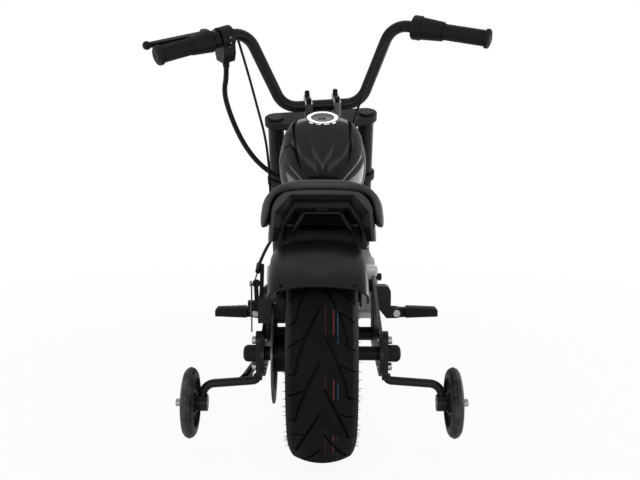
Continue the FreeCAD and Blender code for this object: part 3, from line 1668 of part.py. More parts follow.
def make_trainers():
    """The two bolted arms, their stub axles and the small wheels, and the bolts of the frame."""
    rod = S.arm_rod_diameter
    thick = S.arm_plate_thickness
    width = S.arm_plate_width
    wheel_half = S.trainer_width / 2
    inner_face = S.trainer_half_track - wheel_half
    rod_x = inner_face - rod / 2 - S.overrun
    plate_x = plate_outer + rod / 2 + S.seat_gap
    run_z = tyre_radius - S.arm_run_drop
    bolt = S.arm_bolt_diameter / 2 + S.seat_gap
    offset = S.arm_bolt_spacing / 2
    hub = S.trainer_hub_diameter / 2
    rim = S.trainer_rim_diameter / 2
    bore = S.trainer_bore_diameter / 2
    edge = wheel_half / 2
    for label, side in (("right", 1), ("left", -1)):
        strap = plate(
            label + "_arm_strap",
            "YZ_Plane",
            [(ZERO, -S.arm_plate_fall, width / 2 - S.overrun), (ZERO, S.arm_plate_rise, width / 2)],
            thick,
            [(ZERO, ZERO, axle_radius + S.seat_gap), (ZERO, offset, bolt), (ZERO, -offset, bolt)],
        )
        strap.Placement = at(plate_outer, 0, tyre_radius)
        path = [
            point(plate_x, 0, tyre_radius - S.arm_plate_fall - S.overrun),
            point(plate_x, 0, run_z),
            point(rod_x, 0, run_z - S.arm_run_fall),
            point(rod_x, 0, trainer_z),
        ]
        bent = tube(label + "_arm_rod", path, [S.arm_first_bend, S.arm_bend_radius], rod)
        eye_place = at(rod_x - rod / 2 - S.overrun / 2, 0, trainer_z, AXLE_TURN)
        eye = cylinder(label + "_arm_eye", rod * 2, rod + S.overrun, eye_place)
        hole_place = at(rod_x - rod, 0, trainer_z, AXLE_TURN)
        hole = cylinder(label + "_arm_hole", S.trainer_bore_diameter + S.seat_gap * 2, rod * 2, hole_place)
        place = at(0, rear_axle_y, 0).multiply(mirrored_place(side))
        arm_solid = fuse(label + "_arm_solid", [strap, bent, eye])
        finish(label + "_training_arm", cut(label + "_training_arm", arm_solid, [hole]), place)

        wheel = new_body(label + "_training_wheel")
        recess = wheel_half / 2
        outer = trainer_radius - edge
        hollow = [(rim, recess), (hub, recess)]
        add_revolution(
            wheel,
            [(bore + S.running_gap, -wheel_half), (hub, -wheel_half)]
            + [(r, -w) for r, w in hollow[::-1]]
            + [(rim, -wheel_half), (outer, -wheel_half), (trainer_radius, -edge, edge, 1)]
            + [(trainer_radius, edge), (outer, wheel_half, edge, 1), (rim, wheel_half)]
            + hollow
            + [(hub, wheel_half), (bore + S.running_gap, wheel_half)],
        )
        window = (rim + hub) / 2
        pocket = add_pocket(wheel, "XY_Plane", circles=[(window, ZERO, (rim - hub) / 3)])
        repeat_round(wheel, pocket, S.trainer_window_count)
        wheel_place = at(S.trainer_half_track, 0, trainer_z, AXLE_TURN)
        finish(label + "_training_wheel", wheel, place.multiply(wheel_place))


def bolt_outline(shank, length, head_radius, head_height):
    """A bolt that stands on its head's underside: head upwards, shank downwards."""
    edge = head_height / 3
    return [
        (ZERO, -length),
        (shank, -length),
        (shank, ZERO),
        (head_radius, ZERO),
        (head_radius, head_height - edge),
        (head_radius - edge, head_height, edge, 1),
        (ZERO, head_height),
    ]


def make_fasteners():
    """Axle caps, training-wheel axles, and the bolts and pins of the frame."""
    face = plate_outer + S.arm_plate_thickness
    caps = []
    axles = []
    bolts = []
    head = S.bolt_head_diameter / 2
    grip = S.arm_plate_thickness + S.dropout_thickness + S.overrun
    arm_bolt = bolt_outline(S.arm_bolt_diameter / 2, grip, head, S.bolt_head_height)
    inner_face = S.trainer_half_track - S.trainer_width / 2
    axle_reach = S.trainer_width + S.arm_rod_diameter + S.overrun * 2
    axle_shape = bolt_outline(S.trainer_bore_diameter / 2, axle_reach, head, S.bolt_head_height)
    pin_half = S.peg_thickness / 2 + S.free_gap + S.peg_bracket_thickness / 2
    pin_shape = bolt_outline(S.peg_pin_diameter / 2, pin_half * 2, S.peg_pin_diameter, S.peg_pin_diameter / 2)
    for side in (1, -1):
        place = at(0, rear_axle_y, 0).multiply(mirrored_place(side))
        cap = revolved("axle_cap", dome_outline(S.cap_diameter / 2, S.cap_length, axle_radius + S.seat_gap))
        cap.Placement = place.multiply(at(face, 0, tyre_radius, AXLE_TURN))
        caps.append(cap)
        stub = revolved("training_stub", axle_shape)
        stub_x = S.trainer_half_track + S.trainer_width / 2 + S.free_gap
        stub.Placement = place.multiply(at(stub_x, 0, trainer_z, AXLE_TURN))
        axles.append(stub)
        for up in (-1, 1):
            bolt = revolved("arm_bolt", arm_bolt)
            z = tyre_radius + S.arm_bolt_spacing / 2 * up
            bolt.Placement = place.multiply(at(face, 0, z, AXLE_TURN))
            bolts.append(bolt)
        pin = revolved("peg_pin", pin_shape)
        pin_x = peg_out[side] + S.peg_root_radius + S.free_gap * 2
        rearwards = turn(X_AXIS, 90 * side)
        peg_place = at(0, peg_y, 0).multiply(mirrored_place(side))
        pin.Placement = peg_place.multiply(at(pin_x, -pin_half * side, S.peg_height, rearwards))
        bolts.append(pin)
    stand_reach = S.stand_out + S.stand_diameter / 2 - S.dropout_inner + S.overrun
    stand_shape = bolt_outline(S.stand_bolt_diameter / 2, stand_reach, head, S.bolt_head_height)
    stand_bolt = revolved("stand_bolt", stand_shape)
    stand_x = -(S.stand_out + S.stand_diameter / 2 + S.free_gap)
    stand_bolt.Placement = at(stand_x, stand_y, S.stand_height, turn(Y_AXIS, -90))
    bolts.append(stand_bolt)
    finish("rear_axle_caps", group("rear_axle_caps", caps))
    finish("training_axles", group("training_axles", axles))
    finish("frame_bolts", group("frame_bolts", bolts))


# Rear brake


CALIPER_PIVOT_SHARES = (0.28, 0.55)


def caliper_pivot():
    """The caliper arm's pivot in (forward, height)."""
    along_share, up_share = CALIPER_PIVOT_SHARES
    y = caliper_y + S.caliper_length * along_share
    return y, S.caliper_low + S.caliper_height * up_share


caliper_y = rear_axle_y + S.caliper_length / 2 - S.barrel_diameter / 2
arm_x = -(S.caliper_outer + S.free_gap * 2 + S.caliper_arm_thickness / 2)


def caliper_eye():
    """The eye of the caliper arm, where the brake wire is clamped."""
    y, z = caliper_pivot()
    tilt = math.radians(float(S.caliper_arm_tilt_angle))
    reach = float(S.caliper_arm_length)
    return point(arm_x, float(y) - reach * math.sin(tilt), float(z) + reach * math.cos(tilt))


def barrel_start():
    """The mouth of the caliper's cable barrel, where the outer cable ends."""
    eye = caliper_eye()
    way = Vector(0, 1, 0.3).normalize()
    return eye + way * (float(S.caliper_arm_length) + float(S.barrel_length)), way


def make_caliper():
    """The caliper over the disc, with its lug, pivot and knob, and the arm that the wire pulls."""
    middle_x = -(S.caliper_inner + S.caliper_outer) / 2
    width = S.caliper_outer - S.caliper_inner
    block = box(
        "caliper_block",
        width,
        S.caliper_length,
        S.caliper_height,
        at(middle_x, caliper_y, S.caliper_low),
    )
    lug_high = S.caliper_low + S.overrun
    lug_low = tyre_radius + S.dropout_boss_radius / 2
    lug = box(
        "caliper_lug",
        S.caliper_arm_thickness,
        S.caliper_length / 2,
        lug_high - lug_low,
        at(-(S.dropout_inner - S.caliper_arm_thickness / 2), caliper_y, lug_low),
    )
    y, z = caliper_pivot()
    outwards = turn(Y_AXIS, -90)
    pin_length = S.caliper_arm_thickness + S.free_gap * 4 + S.overrun * 2
    pin_place = at(-(S.caliper_outer - S.overrun), y, z, outwards)
    pin = cylinder("caliper_pin", S.caliper_pin_diameter, pin_length, pin_place)
    knob_x = S.caliper_outer + S.caliper_arm_thickness + S.free_gap * 3
    knob = cylinder("caliper_knob", S.caliper_knob_diameter, S.caliper_knob_length, at(-knob_x, y, z, outwards))
    mouth, way = barrel_start()
    barrel_foot = mouth - way * float(S.barrel_length)
    barrel = bar("cable_barrel", barrel_foot, mouth, S.barrel_diameter)
    bracket_end = mouth - way * (float(S.barrel_length) / 2)
    bracket_foot = caliper_y + S.caliper_length / 2 - S.barrel_diameter - S.overrun
    bracket = plate(
        "barrel_bracket",
        "YZ_Plane",
        [
            (bracket_foot, S.caliper_low + S.caliper_height / 2, S.barrel_diameter),
            (bracket_end.y, bracket_end.z, S.barrel_diameter / 2 + S.overrun),
        ],
        S.caliper_arm_thickness,
    )
    bracket.Placement = at(-(S.caliper_outer + S.free_gap), 0, 0)
    solid = fuse("caliper_solid", [block, lug, pin, knob, barrel, bracket], refine=False)
    slot_x = -(S.hub_neck_end + S.disc_thickness / 2)
    slot_top = tyre_radius + S.disc_diameter / 2 + S.overrun * 2
    slot = box(
        "caliper_slot",
        S.caliper_slot,
        S.caliper_length * 2,
        slot_top - lug_low,
        at(slot_x, caliper_y, lug_low),
    )
    wire = S.wire_diameter / 2 + S.seat_gap
    wire_hole = bar("barrel_hole", barrel_foot - way, mouth - way * float(S.overrun), wire * 2)
    finish("caliper_body", cut("caliper_body", solid, [slot, wire_hole]))

    arm = plate(
        "caliper_arm_plate",
        "YZ_Plane",
        [(ZERO, ZERO, S.caliper_arm_root_radius), (ZERO, S.caliper_arm_length, S.caliper_arm_eye_radius)],
        S.caliper_arm_thickness,
        [(ZERO, ZERO, S.caliper_pin_diameter / 2 + S.running_gap)],
        symmetric=True,
    )
    arm_place = at(arm_x, y, z, turn(X_AXIS, S.caliper_arm_tilt_angle))
    arm.Placement = arm_place
    # The loose tail of the wire hangs below its clamp.
    eye = caliper_eye()
    tail_path = [
        eye,
        eye - point(S.caliper_arm_eye_radius, S.overrun, 0),
        eye - point(S.caliper_arm_eye_radius, S.caliper_arm_eye_radius, S.caliper_arm_length * 1.7),
    ]
    tail = tube("wire_tail", tail_path, [S.wire_diameter * 2], S.wire_diameter)
    finish("caliper_arm", fuse("caliper_arm", [arm, tail]))


# Steering


leg_radius = S.fork_leg_diameter / 2
slider_radius = leg_radius + S.overrun


def make_fork():
    """Both yokes, the stem in the head tube, the fork legs and the front axle."""
    half = S.fork_half_spacing
    circles = [
        (half, S.fork_offset, S.yoke_end_radius),
        (-half, S.fork_offset, S.yoke_end_radius),
        (ZERO, ZERO, S.yoke_waist_radius),
    ]
    holes = [
        (half, S.fork_offset, leg_radius + S.seat_gap),
        (-half, S.fork_offset, leg_radius + S.seat_gap),
        (ZERO, ZERO, S.stem_diameter / 2 + S.seat_gap),
    ]
    for label, height in (("upper_yoke", S.upper_yoke_height), ("lower_yoke", S.lower_yoke_height)):
        yoke = plate(label, "XY_Plane", circles, S.yoke_thickness, holes)
        finish(label, yoke, in_steering(0, 0, height))

    stem = S.stem_diameter / 2
    nut = stem + S.head_cup_flange
    low = S.lower_yoke_height
    high = S.upper_yoke_height + S.yoke_thickness
    stem_body = revolved(
        "steering_stem",
        [
            (ZERO, low - S.head_cup_flange),
            (nut, low - S.head_cup_flange),
            (nut, low),
            (stem, low),
            (stem, high),
            (nut, high),
            (nut, high + S.head_cup_flange * 2),
            (ZERO, high + S.head_cup_flange * 2),
        ],
    )
    finish("steering_stem", stem_body, STEERING)

    top = high + S.overrun * 2
    slider_top = tyre_radius + S.overrun
    foot_length = slider_radius * 2
    for label, side in (("right_fork_leg", 1), ("left_fork_leg", -1)):
        leg = revolved(
            label + "_tube",
            [
                (ZERO, -S.fork_foot_drop),
                (slider_radius, -S.fork_foot_drop),
                (slider_radius, slider_top),
                (leg_radius, slider_top + S.overrun),
                (leg_radius, top - S.overrun),
                (leg_radius - S.overrun, top),
                (ZERO, top),
            ],
        )
        foot_place = at(-(slider_radius + S.overrun), 0, 0, AXLE_TURN)
        foot = cylinder(label + "_foot", foot_length, foot_length + S.overrun * 2, foot_place)
        hole_place = at(-foot_length, 0, 0, AXLE_TURN)
        hole = cylinder(label + "_hole", S.axle_diameter + S.seat_gap * 2, foot_length * 2, hole_place)
        solid = fuse(label + "_solid", [leg, foot])
        finish(label, cut(label, solid, [hole]), in_steering(half * side, S.fork_offset, 0))

    collar = S.axle_collar_diameter / 2
    inner = half - slider_radius - S.overrun
    outer = half + slider_radius + S.overrun
    cap = S.cap_diameter / 2
    cap_round = cap / 2
    cap_end = outer + S.cap_length - S.bolt_head_height
    hub_end = S.hub_half_width + S.free_gap
    right = [
        (axle_radius, hub_end),
        (collar, hub_end),
        (collar, inner),
        (axle_radius, inner),
        (axle_radius, outer),
        (cap, outer),
        (cap, cap_end - cap_round),
        (cap - cap_round, cap_end, cap_round, 1),
    ]
    left = [(r[0], -r[1]) for r in right]
    left[6] = (cap, -(cap_end - cap_round), cap_round, 1)
    axle = revolved(
        "front_axle",
        [(ZERO, -cap_end)] + [(cap - cap_round, -cap_end), left[6]] + left[5::-1] + right + [(ZERO, cap_end)],
    )
    finish("front_axle", axle, in_steering(0, S.fork_offset, 0, AXLE_TURN))


bar_height = S.upper_yoke_height + S.yoke_thickness + S.bar_standoff


def bar_corner(name, side):
    """A corner of the handlebar's centre line in the steering frame."""
    x, y, z = {
        "flat": (S.bar_flat_half, ZERO, ZERO),
        "elbow": (S.bar_elbow_half, S.bar_elbow_forward, S.bar_rise),
        "end": (S.bar_end_half, -S.bar_end_back, S.bar_rise + S.bar_end_climb),
    }[name]
    return point(x * side, S.bar_forward + y, bar_height + z)


def grip_place(side):
    """The straight of the bar on one side: local Z outwards from the elbow, local Y upwards."""
    elbow = bar_corner("elbow", side)
    outwards = (bar_corner("end", side) - elbow).normalize()
    return STEERING.multiply(Placement(elbow, Rotation(Vector(), Z_AXIS, outwards, "ZYX")))


grip_end = (bar_corner("end", 1) - bar_corner("elbow", 1)).Length
bar_radius = S.bar_diameter / 2


def make_handlebar():
    """The bent bar, its two risers on the upper yoke and their bolts."""
    corners = [bar_corner(name, -1) for name in ("end", "elbow", "flat")]
    corners += [bar_corner(name, 1) for name in ("flat", "elbow", "end")]
    bends = [S.bar_bend_radius] * 4
    outer = tube("handlebar_outer", corners, bends, S.bar_diameter)
    inner = tube("handlebar_inner", corners, bends, S.bar_diameter - S.bar_wall * 2)
    finish("handlebar", cut("handlebar", outer, [inner]), STEERING)

    low = S.upper_yoke_height + S.yoke_thickness
    clamp_top = bar_height + bar_radius + S.riser_cap_wall
    risers = []
    bolts = []
    for side in (-1, 1):
        x = S.riser_half_spacing * side
        block = box(
            "riser_block",
            S.riser_width,
            S.riser_depth,
            clamp_top - low,
            at(x, S.bar_forward, low),
        )
        bore_place = at(x - S.riser_width, S.bar_forward, bar_height, AXLE_TURN)
        bore = cylinder("riser_bore", S.bar_diameter + S.seat_gap * 2, S.riser_width * 2, bore_place)
        risers.append(cut("riser", block, [bore]))
        head = S.riser_bolt_diameter / 2
        offset = bar_radius + head
        for front in (-1, 1):
            bolt = revolved("riser_bolt", dome_outline(head, S.riser_bolt_height, head / 2))
            bolt.Placement = at(x, S.bar_forward + offset * front, clamp_top)
            bolts.append(bolt)
    finish("handlebar_risers", group("handlebar_risers", risers), STEERING)
    finish("riser_bolts", group("riser_bolts", bolts), STEERING)


# Grips and controls


def grip_outline(bore, start, sleeve_start, sleeve_radius, sleeve_end, end_gap):
    """A closed grip as (radius, distance from the elbow): sleeve, step, ribbed hand part and end flange."""
    hand = S.grip_outer_diameter / 2
    flange = S.grip_flange_diameter / 2
    wall = S.grip_end_wall
    bar_end = end_gap + grip_end
    rib_start = sleeve_end + wall
    rib_count = int(float(S.grip_rib_count))
    pitch = (bar_end - wall - rib_start) / rib_count
    outline = [
        (bore, start),
        (sleeve_start, start),
        (sleeve_radius, sleeve_end),
        (hand, sleeve_end),
        (hand, rib_start),
    ]
    for rib in range(rib_count):
        foot = rib_start + pitch * rib
        outline.append((hand - S.grip_rib_depth, foot + pitch / 2))
        outline.append((hand, foot + pitch))
    outline += [
        (flange, bar_end - wall),
        (flange, bar_end + wall / 2),
        (flange - wall / 2, bar_end + wall),
        (ZERO, bar_end + wall),
        (ZERO, bar_end),
        (bore, bar_end),
    ]
    return outline


def make_grips():
    """The fixed left grip, the turning throttle grip and the throttle housing."""
    fixed = grip_outline(
        bar_radius + S.seat_gap,
        S.grip_start,
        S.grip_sleeve_diameter / 2,
        S.grip_outer_diameter / 2 + S.grip_rib_depth,
        S.grip_sleeve_end,
        S.seat_gap,
    )
    finish("left_grip", revolved("left_grip", fixed), grip_place(-1))
    turning = grip_outline(
        bar_radius + S.running_gap,
        S.throttle_housing_start + S.throttle_housing_length + S.free_gap,
        S.throttle_sleeve_diameter / 2,
        S.grip_flange_diameter / 2,
        S.throttle_sleeve_end,
        S.free_gap,
    )
    finish("throttle_grip", revolved("throttle_grip", turning), grip_place(1))
    shell = S.throttle_housing_diameter / 2
    end = S.throttle_housing_start + S.throttle_housing_length
    edge = S.grip_end_wall / 2
    bore = bar_radius + S.seat_gap
    housing = revolved(
        "throttle_housing",
        [
            (bore, S.throttle_housing_start),
            (shell - edge, S.throttle_housing_start),
            (shell, S.throttle_housing_start + edge),
            (shell, end - edge),
            (shell - edge, end),
            (bore, end),
        ],
    )
    finish("throttle_housing", housing, grip_place(1))


BUTTON_NAMES = ("upper_button", "middle_button", "lower_button")
BUTTON_TURN = -10.0


def button_place(index):
    """A button's place round the switch pod: local Z points out of the pod."""
    pitch = float(S.button_pitch_angle)
    angle = BUTTON_TURN + pitch * (1 - index)
    middle = S.pod_start + S.pod_length / 2
    spin = turn(Z_AXIS, angle)
    seat = S.pod_diameter / 2 - S.button_height / 2
    outwards = Placement(Vector(), spin).multiply(at(seat, 0, middle, turn(Y_AXIS, 90)))
    return outwards


def make_switches():
    """The switch pod on the left of the bar with its three buttons and its hanging wiring box."""
    pod_ring = cylinder("pod_ring", S.pod_diameter, S.pod_length, at(0, 0, S.pod_start))
    box_width = S.pod_depth
    drop = S.pod_drop
    pod_box = new_body("pod_box")
    half = box_width / 2
    taper = half * 0.7
    add_pad(
        pod_box,
        "XY_Plane",
        [[(-taper, -drop), (taper, -drop), (half, -drop * 0.6), (half, ZERO), (-half, ZERO), (-half, -drop * 0.6)]],
        S.pod_length,
    )
    pod_box.Placement = at(0, 0, S.pod_start)
    place = grip_place(-1)
    bore_place = at(0, 0, S.pod_start - S.overrun)
    tools = [cylinder("pod_bore", S.bar_diameter + S.seat_gap * 2, S.pod_length + S.overrun * 2, bore_place)]
    for index, label in enumerate(BUTTON_NAMES):
        well_depth = S.button_height / 2 + S.button_travel + S.free_gap
        below = at(0, 0, -(S.button_travel + S.free_gap))
        well_place = button_place(index).multiply(below)
        well = cylinder(label + "_well", S.button_diameter + S.seat_gap * 2, well_depth + S.overrun * 2, well_place)
        tools.append(well)
        edge = S.button_diameter / 8
        radius = S.button_diameter / 2
        button = revolved(
            label,
            [
                (ZERO, ZERO),
                (radius, ZERO),
                (radius, S.button_height - edge),
                (radius - edge, S.button_height, edge, 1),
                (ZERO, S.button_height),
            ],
        )
        finish(label, button, place.multiply(button_place(index)))
    finish("switch_pod", cut("switch_pod", fuse("pod_solid", [pod_ring, pod_box]), tools), place)


def lever_pivot():
    """The brake lever's pivot in the left grip frame, in (forward, along the bar)."""
    return -(S.perch_reach), S.perch_start + S.perch_length / 2


def lever_tilt():
    """Turns the lever's plane square to the bar's upward direction."""
    return turn(X_AXIS, -90)


def make_lever():
    """The brake lever with its ball end, in the fork of its perch."""
    place = grip_place(-1)
    forward, along = lever_pivot()
    ring = cylinder("perch_ring", S.bar_diameter + S.perch_length, S.perch_length, at(0, 0, S.perch_start))
    pivot = S.lever_width / 2 + S.overrun
    arm = plate(
        "perch_arm",
        "XZ_Plane",
        [(-bar_radius, along, pivot), (forward, along, pivot)],
        S.perch_height,
        symmetric=True,
    )
    barrel_x = forward + pivot / 2
    barrel_place = at(barrel_x, 0, S.perch_start - S.barrel_length / 2)
    barrel = cylinder("perch_barrel", S.barrel_diameter, S.barrel_length / 2, barrel_place)
    bore_place = at(0, 0, S.perch_start - S.perch_length)
    bore = cylinder("perch_bore", S.bar_diameter + S.seat_gap * 2, S.perch_length * 3, bore_place)
    slot = box(
        "perch_slot",
        S.perch_reach + pivot,
        S.lever_thickness + S.free_gap * 2,
        S.perch_length * 3,
        at(
            forward - (S.perch_reach + pivot) / 2 + pivot + S.overrun,
            0,
            S.perch_start - S.overrun / 4,
        ),
    )
    perch = cut("perch_cut", fuse("perch_solid", [ring, arm, barrel]), [bore, slot])
    pin_place = at(forward, -(S.perch_height / 2), along, turn(X_AXIS, -90))
    pin = cylinder("lever_pin", S.lever_pin_diameter, S.perch_height, pin_place)
    finish("lever_perch", fuse("lever_perch", [perch, pin]), place)

    reach = S.lever_length
    tip_forward = forward - S.lever_width * 1.3
    lever = plate(
        "lever_blade",
        "XZ_Plane",
        [(forward, along, S.lever_width / 2), (tip_forward, along + reach, S.lever_width * 0.4)],
        S.lever_thickness,
        [(forward, along, S.lever_pin_diameter / 2 + S.running_gap)],
        symmetric=True,
    )
    knob = ball("lever_ball", S.lever_ball_radius, at(tip_forward, 0, along + reach))
    finish("brake_lever", fuse("brake_lever", [lever, knob]), place)


def make_headlight():
    """The round headlight between the fork legs, on two stays."""
    radius = S.lamp_diameter / 2
    wall = S.lamp_wall
    depth = S.lamp_depth
    rim = S.lamp_rim_width
    shell = revolved(
        "lamp_shell",
        [
            (ZERO, -depth / 2),
            (radius * 0.5, -depth / 2),
            (radius, depth / 2 - rim, depth, 1),
            (radius, depth / 2),
            (radius - wall, depth / 2),
            (radius - wall, depth / 2 - rim),
            (radius * 0.5 - wall, -depth / 2 + wall, depth, -1),
            (ZERO, -depth / 2 + wall),
        ],
    )
    forwards = turn(X_AXIS, -90)
    shell.Placement = at(0, S.lamp_forward, S.lamp_height, forwards)
    items = [shell]
    for side in (-1, 1):
        start = point(radius * side * 0.8, S.lamp_forward, S.lamp_height)
        leg = point(S.fork_half_spacing * side, S.fork_offset, S.lamp_height)
        way = leg - start
        end = start + way * ((way.Length - float(leg_radius) - float(S.seat_gap)) / way.Length)
        items.append(bar("lamp_stay", start, end, S.lamp_stay_diameter))
    hollow = revolved(
        "lamp_hollow",
        [
            (ZERO, -depth / 2 + wall),
            (radius * 0.5 - wall, -depth / 2 + wall),
            (radius - wall, depth / 2 - rim, depth, 1),
            (ZERO, depth / 2 - rim),
        ],
    )
    hollow.Placement = at(0, S.lamp_forward, S.lamp_height, forwards)
    finish("headlight_shell", cut("headlight_shell", fuse("lamp_solid", items), [hollow]), STEERING)
    lens_place = at(0, S.lamp_forward + depth / 2 - rim + S.seat_gap, S.lamp_height, forwards)
    lens = cylinder("headlight_lens", (radius - wall - S.seat_gap) * 2, rim - S.seat_gap, lens_place)
    finish("headlight_lens", lens, STEERING.multiply(lens_place))


# Cords


# Each route is a row of shares of the way from its start to its end, along X, Y and Z.
LOOM_SHARES = (
    (-0.002, 0.298, 0.127),
    (-0.048, 0.477, 0.271),
    (0.019, 0.718, 0.482),
    (0.145, 0.879, 0.716),
    (0.307, 0.980, 0.902),
    (0.512, 1.040, 1.034),
    (0.680, 1.040, 1.088),
    (0.865, 1.000, 1.064),
)
BRAKE_CABLE_SHARES = (
    (0.203, -0.041, -0.022),
    (0.359, -0.074, 0.002),
    (0.442, -0.090, 0.083),
    (0.568, -0.112, 0.214),
    (0.696, -0.129, 0.360),
    (0.825, -0.137, 0.501),
    (0.890, -0.118, 0.641),
    (0.926, -0.052, 0.772),
    (0.954, 0.063, 0.855),
    (0.991, 0.205, 0.892),
    (1.046, 0.369, 0.907),
    (1.101, 0.550, 0.916),
    (1.120, 0.720, 0.931),
    (1.046, 0.873, 0.962),
)
THROTTLE_WIRE_SHARES = (
    (0.149, 0.193, -0.019),
    (0.265, 0.396, 0.022),
    (0.385, 0.436, 0.143),
    (0.494, 0.662, 0.313),
    (0.597, 0.775, 0.476),
    (0.692, 0.955, 0.618),
    (0.733, 1.045, 0.760),
    (0.753, 1.068, 0.881),
    (0.822, 1.000, 0.972),
)
BEND_SHARE = 0.45


def cord_route(start, end, shares):
    """The corners of a cord's route between two points."""
    way = end - start
    inner = [start + Vector(way.x * x, way.y * y, way.z * z) for x, y, z in shares]
    return [start] + inner + [end]


def bend_radii(points):
    """The largest tangent radius that fits at each inner corner of a route."""
    radii = []
    for before, here, after in zip(points, points[1:], points[2:]):
        arriving = here - before
        leaving = after - here
        shorter = min(arriving.Length, leaving.Length)
        half_turn = arriving.getAngle(leaving) / 2
        radii.append(BEND_SHARE * shorter / math.tan(half_turn))
    return radii


def cord(label, points, diameter):
    """A cord of one diameter along its route."""
    finish(label, tube(label, points, bend_radii(points), diameter))


LOOM_GROMMET_ANGLE = 30.0
WIRE_GROMMET_ANGLE = -15.0


def backbone_side(side, degrees_down):
    """A grommet's place on one side of the backbone, just ahead of the tank."""
    y = S.tank_front + S.loom_diameter
    reach = float(S.backbone_diameter) / 2 + float(S.seat_gap) * 6
    down = math.radians(degrees_down)
    return point(reach * math.cos(down) * side, y, backbone_height(y) - reach * math.sin(down))


def make_cords():
    """The switch loom, the brake cable and the throttle wire."""
    left = grip_place(-1)
    pod_middle = S.pod_start + S.pod_length / 2
    loom_start = left.multVec(point(0, -(S.pod_drop + S.free_gap), pod_middle))
    loom_end = backbone_side(-1, LOOM_GROMMET_ANGLE)
    cord("wire_loom", cord_route(loom_start, loom_end, LOOM_SHARES), S.loom_diameter)

    forward = lever_pivot()[0] + S.lever_width / 4 + S.overrun / 2
    perch_mouth = S.perch_start - S.barrel_length / 2 - S.seat_gap
    cable_start = left.multVec(point(forward, 0, perch_mouth))
    mouth, way = barrel_start()
    cable_end = mouth + way * float(S.seat_gap)
    cable_route = cord_route(cable_start, cable_end, BRAKE_CABLE_SHARES)
    cord("brake_cable", cable_route, S.brake_cable_diameter)

    right = grip_place(1)
    rear = bar_radius + S.throttle_wire_diameter
    wire_start = right.multVec(point(-rear, 0, S.throttle_housing_start - S.seat_gap))
    wire_end = backbone_side(1, WIRE_GROMMET_ANGLE)
    wire_route = cord_route(wire_start, wire_end, THROTTLE_WIRE_SHARES)
    cord("throttle_wire", wire_route, S.throttle_wire_diameter)


# Export


def export_all():
    """Checks every object, then writes each sub-part to its own file."""
    doc.recompute()
    for item in doc.Objects:
        if "Invalid" in item.State or "Error" in item.State:
            raise RuntimeError(f"{item.Name} failed to build: {item.getStatusString()}")
    os.makedirs("parts", exist_ok=True)
    for label, item in sub_parts.items():
        shape = item.Shape
        if shape.isNull() or not shape.isValid() or not shape.Solids:
            raise RuntimeError(f"{label} has no sound shape")
        shape.exportStep(os.path.join("parts", label + ".step"))


make_wheels()
make_frame()
make_dropouts()
make_tank()
make_seat()
make_fenders()
make_engine()
make_pegs()
make_kickstand()
make_trainers()
make_fasteners()
make_caliper()
make_fork()
make_handlebar()
make_grips()
make_switches()
make_lever()
make_headlight()
make_cords()
export_all()
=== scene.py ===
"""Looks of a child's electric chopper motorbike with training wheels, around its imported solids."""

import logging
import math
from dataclasses import dataclass
from enum import Enum
from typing import Any

import bmesh
import bpy
from mathutils import Matrix, Vector


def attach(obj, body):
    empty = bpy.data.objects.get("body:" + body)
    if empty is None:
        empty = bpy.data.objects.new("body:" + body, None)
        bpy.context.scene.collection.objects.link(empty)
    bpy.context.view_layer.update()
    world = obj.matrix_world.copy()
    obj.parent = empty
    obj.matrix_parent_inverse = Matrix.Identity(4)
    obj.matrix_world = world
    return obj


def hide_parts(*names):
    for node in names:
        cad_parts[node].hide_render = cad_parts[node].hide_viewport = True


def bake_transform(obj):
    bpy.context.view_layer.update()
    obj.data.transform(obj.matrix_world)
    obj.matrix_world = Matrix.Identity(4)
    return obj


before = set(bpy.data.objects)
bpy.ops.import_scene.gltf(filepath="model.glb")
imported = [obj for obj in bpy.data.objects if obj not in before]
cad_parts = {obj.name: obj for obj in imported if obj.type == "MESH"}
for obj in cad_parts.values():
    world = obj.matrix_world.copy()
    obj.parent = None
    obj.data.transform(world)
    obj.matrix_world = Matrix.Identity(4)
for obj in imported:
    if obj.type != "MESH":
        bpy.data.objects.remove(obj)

LOG = logging.getLogger("motorbike")
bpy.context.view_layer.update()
MM = 0.001
UP = Vector((0.0, 0.0, 1.0))
RIGHT = Vector((1.0, 0.0, 0.0))
REAR_AXLE = (0.0, -0.37, 0.15)
TRAINER_AXLE = (0.0, -0.37, 0.078)

# Short names for the types that recur
Socket = bpy.types.NodeSocket
Tree = bpy.types.NodeTree
Node = bpy.types.Node
Material = bpy.types.Material
Mesh = bpy.types.Mesh
Piece = bpy.types.Object
Settings = dict[Any, Any]
Links = dict[Any, Socket]
Points = list[Vector]
Faces = list[tuple[int, ...]]
Profile = list[tuple[float, float]]
Pair = tuple[float, float]
Point = tuple[float, float, float]
Route = tuple[Point, ...]


class Body(str, Enum):
    """The moving bodies that new pieces ride on."""

    FRAME = "frame"
    STEERING = "steering"
    REAR_WHEEL = "rear_wheel"
    THROTTLE = "throttle_grip"
    LEFT_TRAINER = "left_training_wheel"
    RIGHT_TRAINER = "right_training_wheel"
    CALIPER_ARM = "caliper_arm"
    UPPER_BUTTON = "upper_button"
    MIDDLE_BUTTON = "middle_button"
    LOWER_BUTTON = "lower_button"


class Slot(str, Enum):
    """The record's material slots, passed along with new pieces."""

    CHROME = "chrome"
    DIAL = "dial_plastic"
    SEAT = "seat_vinyl"
    TYRE = "tyre_rubber"
    GRIP = "grip_rubber"
    GLASS = "lamp_glass"
    CORD = "cord_jacket"
    PLASTIC = "black_plastic"
    ZINC = "zinc_steel"
    TRAINER = "trainer_plastic"
    SILVER = "silver_plastic"


# Small tools


